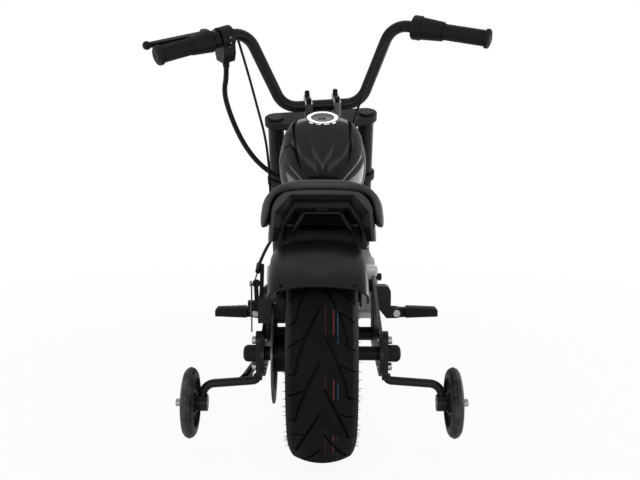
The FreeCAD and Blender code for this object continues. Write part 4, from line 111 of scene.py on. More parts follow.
def linear(colour: str) -> tuple[float, float, float, float]:
    """Turns an sRGB hex colour to linear light.

    Args:
        colour: Six hex digits after a hash.

    Returns:
        Red, green, blue and an alpha of one.
    """
    parts = [int(colour[i : i + 2], 16) / 255 for i in (1, 3, 5)]
    red, green, blue = (
        p / 12.92 if p <= 0.04045 else ((p + 0.055) / 1.055) ** 2.4 for p in parts
    )
    return red, green, blue, 1.0


def repeats(size_mm: float) -> float:
    """Pattern repeats per metre for a real size in millimetres."""
    return 1.0 / (size_mm * MM)


def empty_tree(holder: Material | bpy.types.World) -> Tree:
    """Gives a material or a world a node tree with nothing in it.

    Args:
        holder: The material or world.

    Returns:
        Its node tree.
    """
    holder.use_nodes = True
    holder.node_tree.nodes.clear()
    return holder.node_tree


def add_node(
    tree: Tree, kind: str, settings: Settings | None = None, links: Links | None = None
) -> Node:
    """Adds a node with its settings and incoming links.

    Args:
        tree: The node tree.
        kind: The node's type.
        settings: Values for its inputs or properties; "stops" are a ramp's (place, colour) pairs.
        links: Its inputs, each with the socket that feeds it.

    Returns:
        The new node.
    """
    node = tree.nodes.new(kind)
    for key, value in (settings or {}).items():
        if key == "stops":
            elements = node.color_ramp.elements
            while len(elements) < len(value):
                elements.new(0.5)
            for element, (place, colour) in zip(elements, value):
                element.position = place
                element.color = linear(colour)
        elif isinstance(key, int) or key in node.inputs:
            node.inputs[key].default_value = value
        else:
            setattr(node, key, value)
    for key, source in (links or {}).items():
        tree.links.new(source, node.inputs[key])
    return node


def new_piece(name: str, mesh: Mesh, material: Material) -> Piece:
    """Puts a mesh in the scene as one smooth piece of one material.

    Args:
        name: The piece's name.
        mesh: Its mesh, in the shared frame.
        material: Its finish.

    Returns:
        The piece.
    """
    piece = bpy.data.objects.new(name, mesh)
    bpy.context.scene.collection.objects.link(piece)
    mesh.materials.clear()
    mesh.materials.append(material)
    for polygon in mesh.polygons:
        polygon.use_smooth = True
    return piece


def settle(piece: Piece, body: Body, slot: Slot, replaced: str | None = None) -> Piece:
    """Lets a finished piece ride on its body, hides the CAD node it replaces and logs its name.

    Args:
        piece: The piece, in place.
        body: The body it moves with.
        slot: The record's slot of its finish; not used.
        replaced: A CAD node it is shown instead of, if any.

    Returns:
        The piece.
    """
    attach(piece, body.value)
    if replaced:
        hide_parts(replaced)
    LOG.info("made %s", piece.name)
    return piece


def dress(names: str, material: Material) -> None:
    """Gives CAD nodes a finish.

    Args:
        names: Node names with spaces between them.
        material: The finish.
    """
    for name in names.split():
        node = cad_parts[name]
        node.data.materials.clear()
        node.data.materials.append(material)
        LOG.info("dressed %s with %s", name, material.name)


def mesh_from(name: str, corners: Points, faces: Faces) -> Mesh:
    """A mesh from corners and faces, with its normals turned outwards.

    Args:
        name: The mesh's name.
        corners: Corner points in the shared frame, in metres.
        faces: Corner numbers of each face.

    Returns:
        The mesh.
    """
    mesh = bpy.data.meshes.new(name)
    mesh.from_pydata([tuple(c) for c in corners], [], faces)
    work = bmesh.new()
    work.from_mesh(mesh)
    bmesh.ops.recalc_face_normals(work, faces=work.faces)
    work.to_mesh(mesh)
    work.free()
    return mesh


def tube_faces(rings: int, sides: int) -> Faces:
    """Faces of a closed tube whose rings of corners follow one another.

    Args:
        rings: How many rings of corners there are.
        sides: How many corners each ring has.

    Returns:
        The faces round the tube, then its two ends.
    """
    faces: Faces = []
    for ring in range(rings - 1):
        for side in range(sides):
            here = ring * sides + side
            beside = ring * sides + (side + 1) % sides
            faces.append((here, beside, beside + sides, here + sides))
    last = (rings - 1) * sides
    return faces + [tuple(range(sides - 1, -1, -1)), tuple(range(last, last + sides))]


def swept(name: str, line: Points, radius: float, sides: int = 16) -> Mesh:
    """A round bar along a line, with closed ends.

    Args:
        name: The mesh's name.
        line: Points along the middle.
        radius: The bar's radius, in metres.
        sides: Corners round the section.

    Returns:
        The mesh.
    """
    corners: Points = []
    along = (line[1] - line[0]).normalized()
    across = along.orthogonal().normalized()
    for index, place in enumerate(line):
        before = line[max(index - 1, 0)]
        after = line[min(index + 1, len(line) - 1)]
        along = (after - before).normalized()
        across = (across - along * across.dot(along)).normalized()
        up = along.cross(across)
        for side in range(sides):
            angle = math.tau * side / sides
            corners.append(place + (across * math.cos(angle) + up * math.sin(angle)) * radius)
    return mesh_from(name, corners, tube_faces(len(line), sides))


def turned(name: str, profile: Profile, place: Matrix, sides: int = 48) -> Mesh:
    """A solid of revolution about the local Z axis.

    Args:
        name: The mesh's name.
        profile: Radius and height of each point, in millimetres; a radius of zero closes an end.
        place: Where the local axes lie in the shared frame.
        sides: Steps round the axis.

    Returns:
        The mesh.
    """
    corners: Points = []
    rings: list[list[int]] = []
    for radius, height in profile:
        ring = []
        reach = radius * MM
        for side in range(sides if radius > 0 else 1):
            angle = math.tau * side / sides
            ring.append(len(corners))
            corners.append(
                place @ Vector((reach * math.cos(angle), reach * math.sin(angle), height * MM))
            )
        rings.append(ring)
    faces: Faces = []
    for low, high in zip(rings, rings[1:]):
        for side in range(sides):
            after = (side + 1) % sides
            corner = [low[side % len(low)], low[after % len(low)]]
            corner += [high[after % len(high)], high[side % len(high)]]
            unique = tuple(dict.fromkeys(corner))
            if len(unique) > 2:
                faces.append(unique)
    return mesh_from(name, corners, faces)


def smooth_line(route: Route, steps: int = 14) -> Points:
    """The smooth line of a route, read from a spline that has its points as control points.

    Args:
        route: The control points, in metres.
        steps: Points for each stretch of the spline.

    Returns:
        Points along the line.
    """
    curve = bpy.data.curves.new("route", "CURVE")
    curve.dimensions = "3D"
    curve.resolution_u = steps
    spline = curve.splines.new("NURBS")
    spline.points.add(len(route) - 1)
    for control, place in zip(spline.points, route):
        control.co = (*place, 1.0)
    spline.order_u = 3
    spline.use_endpoint_u = True
    holder = bpy.data.objects.new("route", curve)
    mesh = bpy.data.meshes.new_from_object(holder)
    line = [vertex.co.copy() for vertex in mesh.vertices]
    bpy.data.meshes.remove(mesh)
    bpy.data.objects.remove(holder)
    bpy.data.curves.remove(curve)
    return line


def boxes(name: str, places: list[Matrix], size: Point) -> Mesh:
    """Equal flat boxes, each standing on its own local XY plane.

    Args:
        name: The mesh's name.
        places: Where each box's local axes lie.
        size: Length along X, width along Y and height along Z, in millimetres.

    Returns:
        The mesh with all of them.
    """
    corners: Points = []
    faces: Faces = []
    length, width, height = (value * MM for value in size)
    for place in places:
        first = len(corners)
        for z in (0.0, height):
            for x, y in ((-0.5, -0.5), (0.5, -0.5), (0.5, 0.5), (-0.5, 0.5)):
                corners.append(place @ Vector((x * length, y * width, z)))
        faces += [tuple(first + corner for corner in face) for face in tube_faces(2, 4)]
    return mesh_from(name, corners, faces)


def merged(name: str, meshes: list[Mesh]) -> Mesh:
    """Several meshes as one.

    Args:
        name: The new mesh's name.
        meshes: The meshes to join.

    Returns:
        The mesh with all of them.
    """
    work = bmesh.new()
    for mesh in meshes:
        work.from_mesh(mesh)
    whole = bpy.data.meshes.new(name)
    work.to_mesh(whole)
    work.free()
    return whole


def surface_point(name: str, start: Vector, way: Vector) -> Vector:
    """Where a straight line from a point first meets a CAD node, or the point itself."""
    found, place, _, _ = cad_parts[name].ray_cast(start, way)
    return place if found else start


def axes_at(place: Vector, along: Vector, up: Vector = UP) -> Matrix:
    """A matrix with local Z along one direction and local Y as near as can be to another.

    Args:
        place: The origin.
        along: The direction of local Z.
        up: The direction local Y leans to.

    Returns:
        The matrix.
    """
    z_axis = along.normalized()
    x_axis = up.cross(z_axis).normalized()
    y_axis = z_axis.cross(x_axis)
    return Matrix.Translation(place) @ Matrix((x_axis, y_axis, z_axis)).transposed().to_4x4()


def ring_places(place: Matrix, count: int, radius_mm: float, height_mm: float = 0.0) -> list[Matrix]:
    """Places spread evenly on a circle about another place's local Z axis."""
    shift = Matrix.Translation((0.0, radius_mm * MM, height_mm * MM))
    return [place @ Matrix.Rotation(math.tau * step / count, 4, "Z") @ shift for step in range(count)]


# The steering's own axes: X along the front axle, Y square to it, Z up the head tube.
STEERING = axes_at(
    Vector((0.0, 0.348349, 0.1375)),
    Vector((0.0, -0.5, 0.866025)),
    Vector((-0.12187, 0.85957, 0.496273)),
)


# Finishes


@dataclass
class Skin:
    """A material in the making: its node tree, its surface shader and the object's coordinates."""

    tree: Tree
    shader: Node
    place: Socket

    def add(self, kind: str, settings: Settings | None = None, links: Links | None = None) -> Node:
        """Adds a node to the tree; it takes the object's coordinates where no link is given."""
        return add_node(self.tree, kind, settings, links or {"Vector": self.place})

    def feed(self, name: str, source: Socket) -> None:
        """Lets a socket drive one of the shader's inputs."""
        self.tree.links.new(source, self.shader.inputs[name])

    def colour(self) -> Socket:
        """What drives the shader's colour so far."""
        return self.shader.inputs["Base Color"].links[0].from_socket

    def noise(self, size_mm: float, detail: float, roughness: float = 0.5) -> Socket:
        """Cloudy noise whose blotches have a real size."""
        settings = {"Scale": repeats(size_mm), "Detail": detail, "Roughness": roughness}
        return self.add("ShaderNodeTexNoise", settings).outputs["Fac"]

    def bands(self, width_mm: float, distortion: float = 0.0) -> Socket:
        """Straight bands of a real width, one after another along X."""
        settings = {"Scale": repeats(width_mm) / math.tau, "Distortion": distortion}
        return self.add("ShaderNodeTexWave", settings).outputs["Fac"]

    def cells(self, size_mm: float, settings: Settings | None = None) -> Socket:
        """The distance from the middle of cells of a real size."""
        settings = {"Scale": repeats(size_mm)} | (settings or {})
        return self.add("ShaderNodeTexVoronoi", settings).outputs["Distance"]

    def part(self, axis: str) -> Socket:
        """One of the object's coordinates."""
        return self.add("ShaderNodeSeparateXYZ").outputs[axis]

    def axle_distance(self, axle: Point) -> Socket:
        """The distance from an axle that runs along X.

        Args:
            axle: A point on the axle, in metres.

        Returns:
            The distance, in metres.
        """
        source = self.place
        for step in ({"operation": "SUBTRACT", 1: axle}, {"operation": "MULTIPLY", 1: (0, 1, 1)}):
            source = self.add("ShaderNodeVectorMath", step, {0: source}).outputs["Vector"]
        length = {"operation": "LENGTH"}
        return self.add("ShaderNodeVectorMath", length, {0: source}).outputs["Value"]

    def joined(self, operation: str, first: Socket, second: Socket) -> Socket:
        """The sum or product of two values."""
        links = {0: first, 1: second}
        return self.add("ShaderNodeMath", {"operation": operation}, links).outputs["Value"]

    def ranged(self, source: Socket, start: Pair, end: Pair) -> Socket:
        """A value moved from one pair of limits to another and held between them."""
        settings = dict(zip(("From Min", "From Max", "To Min", "To Max"), (*start, *end)))
        return self.add("ShaderNodeMapRange", settings, {"Value": source}).outputs["Result"]

    def overlay(self, share: Socket, under: Socket, colour: str) -> Socket:
        """A plain colour laid over another by a share."""
        settings = {"data_type": "RGBA", 7: linear(colour)}
        return self.add("ShaderNodeMix", settings, {0: share, 6: under}).outputs[2]

    def relief(self, height: Socket, depth_mm: float) -> None:
        """Feeds a height from nought to one, of a real depth, into the shader's normal."""
        bump = self.add("ShaderNodeBump", {"Distance": depth_mm * MM}, {"Height": height})
        self.feed("Normal", bump.outputs["Normal"])

    def spread(self, name: str, source: Socket, low: float, high: float) -> None:
        """Lets a pattern vary one of the shader's values between two limits."""
        self.feed(name, self.ranged(source, (0.0, 1.0), (low, high)))

    def tint(self, source: Socket, *stops: tuple[float, str]) -> None:
        """Colours the surface by a pattern, along a row of (place, colour) stops."""
        ramp = self.add("ShaderNodeValToRGB", {"stops": stops}, {"Fac": source})
        self.feed("Base Color", ramp.outputs["Color"])


@dataclass(frozen=True)
class Finish:
    """A surface finish: one plain shader that its own kind adds detail to."""

    name: str
    colour: str
    roughness: float
    metallic: float = 0.0
    ior: float = 1.5
    specular: float = 0.5
    coat: float = 0.0
    coat_roughness: float = 0.05

    def build(self) -> Material:
        """Makes the material.

        Returns:
            The material with its node tree.
        """
        material = bpy.data.materials.new(self.name)
        tree = empty_tree(material)
        settings = {
            "Base Color": linear(self.colour),
            "Roughness": self.roughness,
            "Metallic": self.metallic,
            "IOR": self.ior,
            "Specular IOR Level": self.specular,
            "Coat Weight": self.coat,
            "Coat Roughness": self.coat_roughness,
        }
        shader = add_node(tree, "ShaderNodeBsdfPrincipled", settings)
        add_node(tree, "ShaderNodeOutputMaterial", links={"Surface": shader.outputs["BSDF"]})
        self.detail(Skin(tree, shader, add_node(tree, "ShaderNodeTexCoord").outputs["Object"]))
        return material

    def detail(self, skin: Skin) -> None:
        """Adds the finish's own pattern; the plain one has none."""

    def vary(self, skin: Skin, source: Socket, less: float, more: float) -> None:
        """Lets a pattern vary the roughness about its own value."""
        skin.spread("Roughness", source, self.roughness - less, self.roughness + more)


@dataclass(frozen=True)
class PowderCoat(Finish):
    """Black polyester powder baked on steel: a low gloss skin with orange peel and a little dust."""

    peel_mm: float = 2.2
    peel_depth_mm: float = 0.05
    patch_mm: float = 60.0
    dust: str = "#141415"

    def detail(self, skin: Skin) -> None:
        """Orange peel in the relief, and patches that are a shade duller.

        Args:
            skin: The material in the making.
        """
        skin.relief(skin.noise(self.peel_mm, detail=2.0, roughness=0.45), self.peel_depth_mm)
        patch = skin.noise(self.patch_mm, detail=4.0)
        self.vary(skin, patch, less=0.06, more=0.1)
        skin.tint(patch, (0.35, self.colour), (0.75, self.dust))


@dataclass(frozen=True)
class GrainedMoulding(Finish):
    """Injection moulded ABS from a spark-eroded tool: fine leathery grain and a soft broad sheen."""

    grain_mm: float = 1.1
    grain_depth_mm: float = 0.035
    scuff_mm: float = 45.0
    scuff: str = "#191a1b"

    def detail(self, skin: Skin) -> None:
        """Grain drawn about twice as coarse as real so that it shows, and faint scuffed areas.

        Args:
            skin: The material in the making.
        """
        skin.relief(skin.noise(self.grain_mm, detail=3.0, roughness=0.7), self.grain_depth_mm)
        scuff = skin.noise(self.scuff_mm, detail=5.0, roughness=0.6)
        self.vary(skin, scuff, less=0.05, more=0.08)
        skin.tint(scuff, (0.4, self.colour), (0.8, self.scuff))


@dataclass(frozen=True)
class PanMoulding(GrainedMoulding):
    """Grained saddle pan with painted shade: its hollow underside falls off to black and loses its
    shine.
    """

    # Painted shade in the hollow: its colour, its shine, and where it starts and ends along Y.
    painted_shade_colour: str = "#070707"
    painted_shade_specular: float = 0.04
    painted_shade_y: Pair = (-0.33, -0.3)

    def detail(self, skin: Skin) -> None:
        """The grain, then painted shade that darkens the colour and dims the shine with the distance
        in from the rear edge.

        Args:
            skin: The material in the making.
        """
        super().detail(skin)
        # Painted shade: the hollow under the saddle darkens and its reflections dim, in from the rear
        # edge.
        depth = skin.ranged(skin.part("Y"), self.painted_shade_y, (0.0, 1.0))
        skin.feed("Base Color", skin.overlay(depth, skin.colour(), self.painted_shade_colour))
        skin.spread("Specular IOR Level", depth, self.specular, self.painted_shade_specular)


@dataclass(frozen=True)
class GlossMoulding(Finish):
    """Polished and lacquered ABS: a deep wet gloss whose reflections wander a little."""

    wave_mm: float = 34.0
    wave_depth_mm: float = 0.16
    dust_mm: float = 2.0
    dust_roughness: float = 0.3

    def detail(self, skin: Skin) -> None:
        """Slow sink waves in the relief, and specks of dust that break the gloss.

        Args:
            skin: The material in the making.
        """
        skin.relief(skin.noise(self.wave_mm, detail=1.0), self.wave_depth_mm)
        dust = skin.noise(self.dust_mm, detail=6.0, roughness=0.8)
        speck = skin.ranged(dust, (0.55, 0.8), (self.roughness, self.dust_roughness))
        skin.feed("Roughness", speck)


@dataclass(frozen=True)
class TurnedMetal(Finish):
    """Bare or plated metal off a lathe or a brush: bright, with fine lines and handling marks."""

    line_mm: float = 0.6
    line_depth_mm: float = 0.012
    mark_mm: float = 7.0
    mark: float = 0.12

    def detail(self, skin: Skin) -> None:
        """Fine lines across the axle direction, drawn coarse enough to show, and dull marks.

        Args:
            skin: The material in the making.
        """
        skin.relief(skin.bands(self.line_mm, distortion=1.5), self.line_depth_mm)
        mark = skin.noise(self.mark_mm, detail=5.0, roughness=0.65)
        self.vary(skin, mark, less=0.0, more=self.mark)


@dataclass(frozen=True)
class GroundDisc(Finish):
    """Ground steel brake disc: rings of fine scratches about the axle, brighter where pads run."""

    ring_mm: float = 1.2
    ring_depth_mm: float = 0.03
    pad_radius_mm: float = 52.0
    pad_edge_mm: float = 2.0
    dull: float = 0.5

    def detail(self, skin: Skin) -> None:
        """Rings by the distance from the axle, and a smoother band under the pads.

        Args:
            skin: The material in the making.
        """
        radius = skin.axle_distance(REAR_AXLE)
        settings = {"noise_dimensions": "1D", "Scale": repeats(self.ring_mm), "Detail": 4.0}
        rings = skin.add("ShaderNodeTexNoise", settings, {"W": radius})
        skin.relief(rings.outputs["Fac"], self.ring_depth_mm)
        edge = ((self.pad_radius_mm - self.pad_edge_mm) * MM, self.pad_radius_mm * MM)
        skin.feed("Roughness", skin.ranged(radius, edge, (self.dull, self.roughness)))


@dataclass(frozen=True)
class TyreRubber(Finish):
    """Cured rubber straight from the mould: matt black with pits and a dusty bloom.

    The tread carries the thin coloured lines that the extruder leaves, where paint is given.
    """

    pit_mm: float = 1.4
    pit_depth_mm: float = 0.08
    bloom_mm: float = 38.0
    bloom: str = "#141415"
    lines: tuple[tuple[float, str], ...] = ()
    line_width_mm: float = 1.5
    line_break_mm: float = 34.0
    paint_share: float = 0.75

    def detail(self, skin: Skin) -> None:
        """Fine pitting in the relief, bloom in the colour, and broken paint lines on the tread.

        Args:
            skin: The material in the making.
        """
        skin.relief(skin.noise(self.pit_mm, detail=4.0, roughness=0.65), self.pit_depth_mm)
        bloom = skin.noise(self.bloom_mm, detail=6.0, roughness=0.6)
        self.vary(skin, bloom, less=0.08, more=0.08)
        skin.tint(bloom, (0.35, self.colour), (0.72, self.bloom))
        if not self.lines:
            return
        colour = skin.colour()
        broken = skin.noise(self.line_break_mm, detail=2.0)
        kept = skin.ranged(broken, (0.5, 0.53), (0.0, self.paint_share))
        for offset_mm, paint in self.lines:
            close = {"operation": "COMPARE", 1: offset_mm * MM, 2: self.line_width_mm * MM / 2}
            near = skin.add("ShaderNodeMath", close, {0: skin.part("X")}).outputs["Value"]
            colour = skin.overlay(skin.joined("MULTIPLY", near, kept), colour, paint)
        skin.feed("Base Color", colour)


@dataclass(frozen=True)
class SyntheticLeather(Finish):
    """Embossed vinyl over foam: a pebbled grain with a waxy sheen and soft stretch marks."""

    pebble_mm: float = 2.4
    pebble_depth_mm: float = 0.16
    crease_mm: float = 40.0

    def detail(self, skin: Skin) -> None:
        """Pebbles, drawn a little coarser than real, over slow creases.

        Args:
            skin: The material in the making.
        """
        pebble = skin.cells(self.pebble_mm, {"feature": "SMOOTH_F1", "Smoothness": 0.6})
        crease = skin.noise(self.crease_mm, detail=3.0)
        skin.relief(skin.joined("ADD", pebble, crease), self.pebble_depth_mm)
        self.vary(skin, crease, less=0.05, more=0.1)


@dataclass(frozen=True)
class SilverLacquer(Finish):
    """Silver lacquer over moulded plastic: fine metal flake under a clear satin film."""

    flake_mm: float = 1.4
    flake_depth_mm: float = 0.015
    cloud_mm: float = 50.0
    dark: str = "#b4b6b9"

    def detail(self, skin: Skin) -> None:
        """Flake, drawn coarse enough to show, and a slow cloud where the film is thicker.

        Args:
            skin: The material in the making.
        """
        flake = skin.cells(self.flake_mm)
        skin.tint(skin.noise(self.cloud_mm, detail=3.0), (0.25, self.dark), (0.7, self.colour))
        self.vary(skin, flake, less=0.06, more=0.1)
        skin.relief(flake, self.flake_depth_mm)


@dataclass(frozen=True)
class TrainerWheel(Finish):
    """Hard moulded wheel: a worn, mottled grey tyre round a blacker spoked centre."""

    rim: str = "#1b1b1b"
    worn: str = "#4b4a48"
    rim_radius_mm: float = 35.0
    scuff_mm: float = 16.0
    grain_mm: float = 1.6
    grain_depth_mm: float = 0.05

    def detail(self, skin: Skin) -> None:
        """The grey tyre by the distance from the axle, with scuffs and fine moulding grain.

        Args:
            skin: The material in the making.
        """
        edge = ((self.rim_radius_mm - 1) * MM, (self.rim_radius_mm + 1) * MM)
        centre = skin.ranged(skin.axle_distance(TRAINER_AXLE), edge, (1.0, 0.0))
        scuff = skin.noise(self.scuff_mm, detail=5.0, roughness=0.65)
        skin.tint(scuff, (0.42, self.rim), (0.72, self.worn))
        skin.feed("Base Color", skin.overlay(centre, skin.colour(), self.colour))
        skin.relief(skin.noise(self.grain_mm, detail=4.0, roughness=0.7), self.grain_depth_mm)
        self.vary(skin, scuff, less=0.1, more=0.12)


@dataclass(frozen=True)
class ClearGlass(Finish):
    """Clear moulded polycarbonate: see-through, with the flutes of a lamp lens."""

    clearness: float = 0.95
    flute_mm: float = 7.0
    flute_depth_mm: float = 0.12

    def detail(self, skin: Skin) -> None:
        """Upright flutes that scatter the view of what lies behind."""
        skin.shader.inputs["Transmission Weight"].default_value = self.clearness
        skin.relief(skin.bands(self.flute_mm), self.flute_depth_mm)


class Finishes:
    """All finishes of the motorbike, each built once."""

    def __init__(self) -> None:
        """Builds every material."""
        # Satin black skin on welded steel tube: soft broad highlights, never mirror sharp.
        self.powder = PowderCoat("powder_coated_steel", "#0a0a0b", 0.34, specular=0.3).build()
        # The same coat on small pressed and forged parts, a shade duller from handling.
        self.forged = PowderCoat("powder_coated_forging", "#090909", 0.4, specular=0.25).build()
        # Cast yokes: the same black and dull, but its colour is painted a shade lighter as painted
        # light standing in for the light on the flat tops.
        self.yoke = PowderCoat(
            "textured_powder_coat_painted_light", "#1c1c1d", 0.6, specular=0.3, dust="#222223"
        ).build()
        # Lacquered tank moulding: the deepest black with the sharpest reflections.
        self.lacquer = GlossMoulding("lacquered_abs", "#060607", 0.12, specular=0.3).build()
        # Satin fender moulding: smooth, with one long soft gradient over the curve.
        smooth = {"grain_mm": 2.4, "grain_depth_mm": 0.012, "scuff": "#0e0e0f"}
        self.satin = GrainedMoulding(
            "satin_moulded_abs", "#080808", 0.3, specular=0.32, **smooth
        ).build()
        # Grained housings: dull, slightly grey where touched.
        self.grained = GrainedMoulding("grained_moulded_abs", "#0f0f10", 0.5, specular=0.25).build()
        # Saddle pan: the same grain, with painted shade that turns its hollow black.
        self.pan = PanMoulding("grained_saddle_pan_painted_shade", "#2a2a2b", 0.4, specular=0.4).build()
        # Bright plated zinc castings: mirror bright, with hardly a mark.
        bright = {"line_depth_mm": 0.0004, "mark": 0.06}
        self.chrome = TurnedMetal(
            "chrome_plated_zinc", "#f0f0f2", 0.1, metallic=1.0, **bright
        ).build()
        # The same plate on brushed posts, where the brush spreads the light.
        self.brushed = TurnedMetal("brushed_plated_steel", "#f2f2f4", 0.24, metallic=1.0).build()
        # Zinc plated screws, nuts and axles: silvery, slightly cloudy.
        self.zinc = TurnedMetal("zinc_plated_steel", "#b9bbbd", 0.26, metallic=1.0).build()
        # Blackened fasteners: dark oil sheen.
        self.oxide = TurnedMetal("black_oxide_steel", "#111113", 0.38, metallic=0.6).build()
        # Black anodised hub and rim castings: a dull metallic black.
        self.anodised = TurnedMetal("black_anodised_alloy", "#0d0d0f", 0.4, metallic=0.5).build()
        # Brake disc, stamped and ground: grey steel with rings.
        self.disc = GroundDisc("ground_steel_disc", "#5c5e61", 0.3, metallic=1.0).build()
        # Tyre rubber: matt black; the rear one keeps its red and blue extruder lines.
        rubber = ("#080809", 0.62)
        paint = ((14.6, "#7a3336"), (20.0, "#2c4a63"), (4.6, "#40201f"))
        self.tyre = TyreRubber("cured_tyre_rubber", *rubber, specular=0.1).build()
        self.lined_tyre = TyreRubber(
            "cured_tyre_rubber_with_lines", *rubber, specular=0.1, lines=paint
        ).build()
        # Moulded hand rubber: velvety, greyer than the tyres.
        self.rubber = GrainedMoulding(
            "moulded_grip_rubber", "#131314", 0.58, specular=0.22, grain_mm=1.3, scuff="#1a1a1b"
        ).build()
        # Saddle cover: dark grey with a waxy sheen.
        self.leather = SyntheticLeather(
            "embossed_vinyl_cover", "#404041", 0.46, specular=0.32
        ).build()
        # Silver engine mouldings: a bright satin grey.
        self.silver = SilverLacquer(
            "silver_lacquered_abs", "#d6d7d9", 0.3, metallic=0.7, coat=0.3
        ).build()
        # Training wheels: grey and worn on the tread.
        self.trainer = TrainerWheel(
            "moulded_training_wheel", "#0e0e0f", 0.46, specular=0.4
        ).build()
        # Lamp lens: clear, with bright flutes.
        self.glass = ClearGlass("clear_polycarbonate", "#f4f6f7", 0.04, ior=1.58).build()
        # Dark glossy marks of the gauge.
        self.cover = GlossMoulding(
            "smoked_gauge_cover", "#3a3c3e", 0.1, wave_depth_mm=0.02, coat=0.4
        ).build()
        # Frosted bulb: milky white.
        self.bulb = GrainedMoulding("frosted_bulb_glass", "#e9e6dc", 0.35, scuff="#d9d6cc").build()
        # Domes of the push buttons: glossy, with a pale colour that is a painted highlight for their
        # glints.
        self.painted_glint_dome = GlossMoulding("polished_button_painted_glint", "#77787a", 0.12, wave_depth_mm=0.0).build()
        # Printed dial: a flat mid grey.
        self.dial = GrainedMoulding(
            "printed_dial_card", "#6f7174", 0.45, grain_depth_mm=0.01, scuff="#626467"
        ).build()
        # Smooth cord jackets: black with a soft line of light.
        self.jacket = GrainedMoulding(
            "extruded_pvc_jacket", "#080809", 0.42, specular=0.2, grain_mm=3.0, grain_depth_mm=0.03
        ).build()
        # Battery case and other plain black plastic in the shade, also the black sheet of painted
        # shade under the saddle.
        self.case = GrainedMoulding("battery_case_abs", "#0d0d0e", 0.5, specular=0.25).build()


# The studio


@dataclass
class Studio:
    """White cove, soft lamps and the camera at the photograph's height behind the bike."""

    eye: Point = (0.0023, -1.4931, 0.4451)
    pitch: float = 0.1185
    yaw: float = 0.0046
    focal_px: float = 812.9
    image_px: float = 640.0
    sensor_mm: float = 36.0
    floor_half: float = 6.0
    fade: Pair = (0.55, 1.9)
    glow_share: float = 0.93
    room_level: float = 0.45
    aim: Point = (0.0, 0.0, 0.3)
    # Name, place, size, power, and whether it shows in reflections.
    lamps: tuple[tuple[str, Point, Pair, float, bool], ...] = (
        ("overhead_softbox", (0.0, -0.3, 3.4), (5.0, 4.0), 64.0, False),
        ("left_softbox", (-2.6, 0.3, 0.25), (2.8, 0.9), 16.0, True),
        ("right_softbox", (2.6, 0.9, 0.25), (4.0, 0.9), 36.0, True),
        ("front_softbox", (0.0, 2.3, 2.3), (1.4, 0.9), 5.6, True),
        ("rear_strip", (0.0, -2.6, 0.45), (3.0, 0.3), 10.0, True),
        ("left_strip", (-0.55, 0.4, 2.4), (0.3, 2.0), 1.1, True),
        ("right_strip", (0.55, 0.4, 2.4), (0.3, 2.0), 1.1, True),
    )

    def build(self) -> None:
        """Sets up camera, world, floor and lamps."""
        self.camera()
        self.world()
        self.floor()
        for name, place, size, power, shows in self.lamps:
            self.lamp(name, Vector(place), size, power).visible_glossy = shows
        bpy.context.scene.view_settings.view_transform = "Standard"

    def camera(self) -> None:
        """The camera, level from side to side and looking a little down."""
        data = bpy.data.cameras.new("camera")
        data.sensor_fit = "HORIZONTAL"
        data.sensor_width = self.sensor_mm
        data.lens = self.focal_px * self.sensor_mm / self.image_px
        camera = bpy.data.objects.new("camera", data)
        camera.location = self.eye
        camera.rotation_euler = (math.pi / 2 - self.pitch, 0.0, self.yaw)
        bpy.context.scene.collection.objects.link(camera)
        bpy.context.scene.camera = camera

    def world(self) -> None:
        """White to the eye, and a plain even grey as light and in reflections."""
        world = bpy.data.worlds.new("cove")
        bpy.context.scene.world = world
        tree = empty_tree(world)
        links = {0: add_node(tree, "ShaderNodeLightPath").outputs["Is Camera Ray"]}
        for socket, level in ((1, self.room_level), (2, 1.0)):
            settings = {"Color": linear("#ffffff"), "Strength": level}
            links[socket] = add_node(tree, "ShaderNodeBackground", settings).outputs["Background"]
        mix = add_node(tree, "ShaderNodeMixShader", links=links)
        add_node(tree, "ShaderNodeOutputWorld", links={"Surface": mix.outputs["Shader"]})

    def floor(self) -> None:
        """A pale floor that keeps a soft shadow and fades into the white world farther out."""
        half = self.floor_half
        corners = [Vector((x * half, y * half, 0.0)) for x, y in ((-1, -1), (1, -1), (1, 1), (-1, 1))]
        material = bpy.data.materials.new("pale_floor")
        tree = empty_tree(material)
        paper = add_node(tree, "ShaderNodeBsdfDiffuse", {"Color": linear("#e4e4e4")})
        glow = add_node(tree, "ShaderNodeEmission", {"Color": linear("#ffffff"), "Strength": 1.0})
        place = add_node(tree, "ShaderNodeTexCoord").outputs["Object"]
        length = {"operation": "LENGTH"}
        radius = add_node(tree, "ShaderNodeVectorMath", length, {0: place}).outputs["Value"]
        near, far = self.fade
        settings = {"interpolation_type": "SMOOTHSTEP", "From Min": near, "From Max": far}
        settings |= {"To Min": self.glow_share, "To Max": 1.0}
        fade = add_node(tree, "ShaderNodeMapRange", settings, {"Value": radius})
        path = add_node(tree, "ShaderNodeLightPath")
        links = {0: path.outputs["Is Camera Ray"], 1: fade.outputs["Result"]}
        part = add_node(tree, "ShaderNodeMath", {"operation": "MULTIPLY"}, links)
        links = {0: part.outputs["Value"], 1: paper.outputs["BSDF"], 2: glow.outputs["Emission"]}
        mix = add_node(tree, "ShaderNodeMixShader", links=links)
        add_node(tree, "ShaderNodeOutputMaterial", links={"Surface": mix.outputs["Shader"]})
        floor = new_piece("floor", mesh_from("floor", corners, [(0, 1, 2, 3)]), material)

    def lamp(self, name: str, place: Vector, size: Pair, power: float) -> Piece:
        """A soft rectangular lamp aimed at the middle of the bike.

        Args:
            name: The lamp's name.
            place: Where it hangs.
            size: Its width and height, in metres.
            power: Its power, in watts.

        Returns:
            The lamp.
        """
        data = bpy.data.lights.new(name, "AREA")
        data.shape = "RECTANGLE"
        data.size, data.size_y = size
        data.energy = power
        lamp = bpy.data.objects.new(name, data)
        lamp.location = place
        lamp.rotation_euler = (Vector(self.aim) - place).to_track_quat("-Z", "Y").to_euler()
        bpy.context.scene.collection.objects.link(lamp)
        return lamp


# Sub-assemblies


